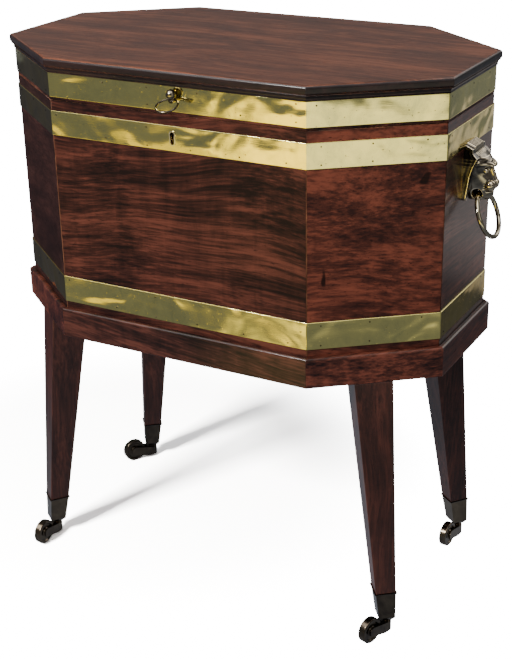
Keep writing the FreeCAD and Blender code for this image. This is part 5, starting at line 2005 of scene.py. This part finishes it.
@dataclass(frozen=True)
class Floor:
    """Pale paper floor, white to the view away from the object, with pools of light in its reflection.

    Attributes:
        reach: half the width of the floor.
        white: brightness of the far floor to the view.
        paper: pattern of the paper's tone.
        paper_limits: values of the pattern between which the tone runs.
        paper_tones: the darkest and the palest tone.
        paper_gain: how brightly the floor shows near the object.
        shadow_middle: middle of the part of the floor where shadows show.
        shadow_limits: distances from that middle between which the shadows fade out.
        near_limits: distances from the coffer between which the near glow fades out.
        near_glow: light of the floor near the object, in reflections.
        far_glow: light of the floor far from it, in reflections.
        pools: the pools of light.
    """

    reach: float = 9.0
    white: float = Room.white
    paper: Noise = Noise(1.3, 2.0)
    paper_limits: tuple = (0.3, 0.7)
    paper_tones: tuple = (0.76, 0.80)
    paper_gain: float = 13.5
    shadow_middle: Triple = (-0.27, 0.10, 0.0)
    shadow_limits: tuple = (0.26, 0.52)
    near_limits: tuple = (0.25, 0.9)
    near_glow: Triple = (0.31, 0.33, 0.38)
    far_glow: Triple = (0.19, 0.21, 0.24)
    pools: tuple = (
        Glow((-0.05, -2.2, 0.0), 0.95, 1.22, (3.3, 2.6, 0.45)),
        Glow((-0.2, -0.86, 0.0), 0.05, 0.25, (2.0, 1.7, 0.5)),
        Glow((-1.17, -1.47, 0.0), 0.38, 0.52, (1.5, 1.18, 0.22)),
        Glow((1.9, -1.8, 0.0), 0.55, 1.5, (1.85, 1.8, 1.35)),
        Glow((1.2, 1.2, 0.0), 0.7, 1.0, (0.08, 0.08, 0.08)),
        Glow((-0.36, 1.88, 0.0), 1.40, 1.60, (0.66, 0.60, 0.58)),
        Glow((-1.9, 0.9, 0.0), 1.2, 1.8, (0.05, 0.05, 0.07)),
        Glow((0.75, 0.75, 0.0), 0.30, 0.62, (0.28, 0.24, 0.24)),
        Glow((0.72, 0.74, 0.0), 0.30, 0.36, (0.06, 0.06, 0.07)),
    )

    def build(self, centre_y: float) -> None:
        """Lays the floor.

        Args:
            centre_y: Y of the coffer's middle.
        """
        signs = np.array([(-1, -1, 0), (1, -1, 0), (1, 1, 0), (-1, 1, 0)])
        floor = mesh_object("floor", signs * self.reach, [[0, 1, 2, 3]])
        material, tree, place = start_material("pale_floor")
        rays = tree.add("ShaderNodeLightPath")
        tone = tree.fade(tree.noise(place, self.paper), self.paper_limits, self.paper_tones)
        paper = tree.add("ShaderNodeBsdfDiffuse", Color=tone)
        lit = tree.add("ShaderNodeBsdfDiffuse", Color=(self.paper_gain,) * 3 + (1.0,))
        far = tree.add("ShaderNodeEmission", Color=WHITE, Strength=self.white)
        away = tree.fade(tree.distance(place, self.shadow_middle), self.shadow_limits)
        seen = tree.choose(away, lit, far)
        near = tree.fade(tree.distance(place, (0.0, centre_y, 0.0)), self.near_limits, (1.0, 0.0))
        glow = tree.mix(near, self.far_glow, self.near_glow)
        for pool in self.pools:
            glow = tree.mix(pool.share(tree, place), glow, pool.light)
        mirrored = tree.add("ShaderNodeEmission", Color=glow)
        unseen = tree.choose(rays.outputs["Is Glossy Ray"], paper, mirrored)
        both = tree.choose(rays.outputs["Is Camera Ray"], unseen, seen)
        tree.add("ShaderNodeOutputMaterial", both.outputs[0])
        floor.data.materials.append(material)


def main() -> None:
    """Builds the cellarette's pieces in order."""
    logging.basicConfig(level=logging.INFO, format="%(name)s: %(message)s")
    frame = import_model()
    effects = Effects(MahoganyFigure().build(), BrassPatina().build(), HandlingMarks().build())
    workshop = Workshop(frame, {choice.finish: choice.build(effects) for choice in FINISHES})
    low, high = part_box("bottom_board")
    centre_y = (low.y + high.y) / 2
    half_width, half_depth = (high.x - low.x) / 2 + COFFER_BOARD, (high.y - low.y) / 2 + COFFER_BOARD
    outline = CofferOutline(half_width, half_depth, centre_y)
    Joinery(workshop).build()
    Bands(workshop, outline).build()
    LionMasks(workshop).build()
    Fittings(workshop).build()
    Camera().build(centre_y)
    Room().build()
    Floor().build(centre_y)
    for lamp in LAMPS:
        lamp.build()


if __name__ == "__main__":
    main()
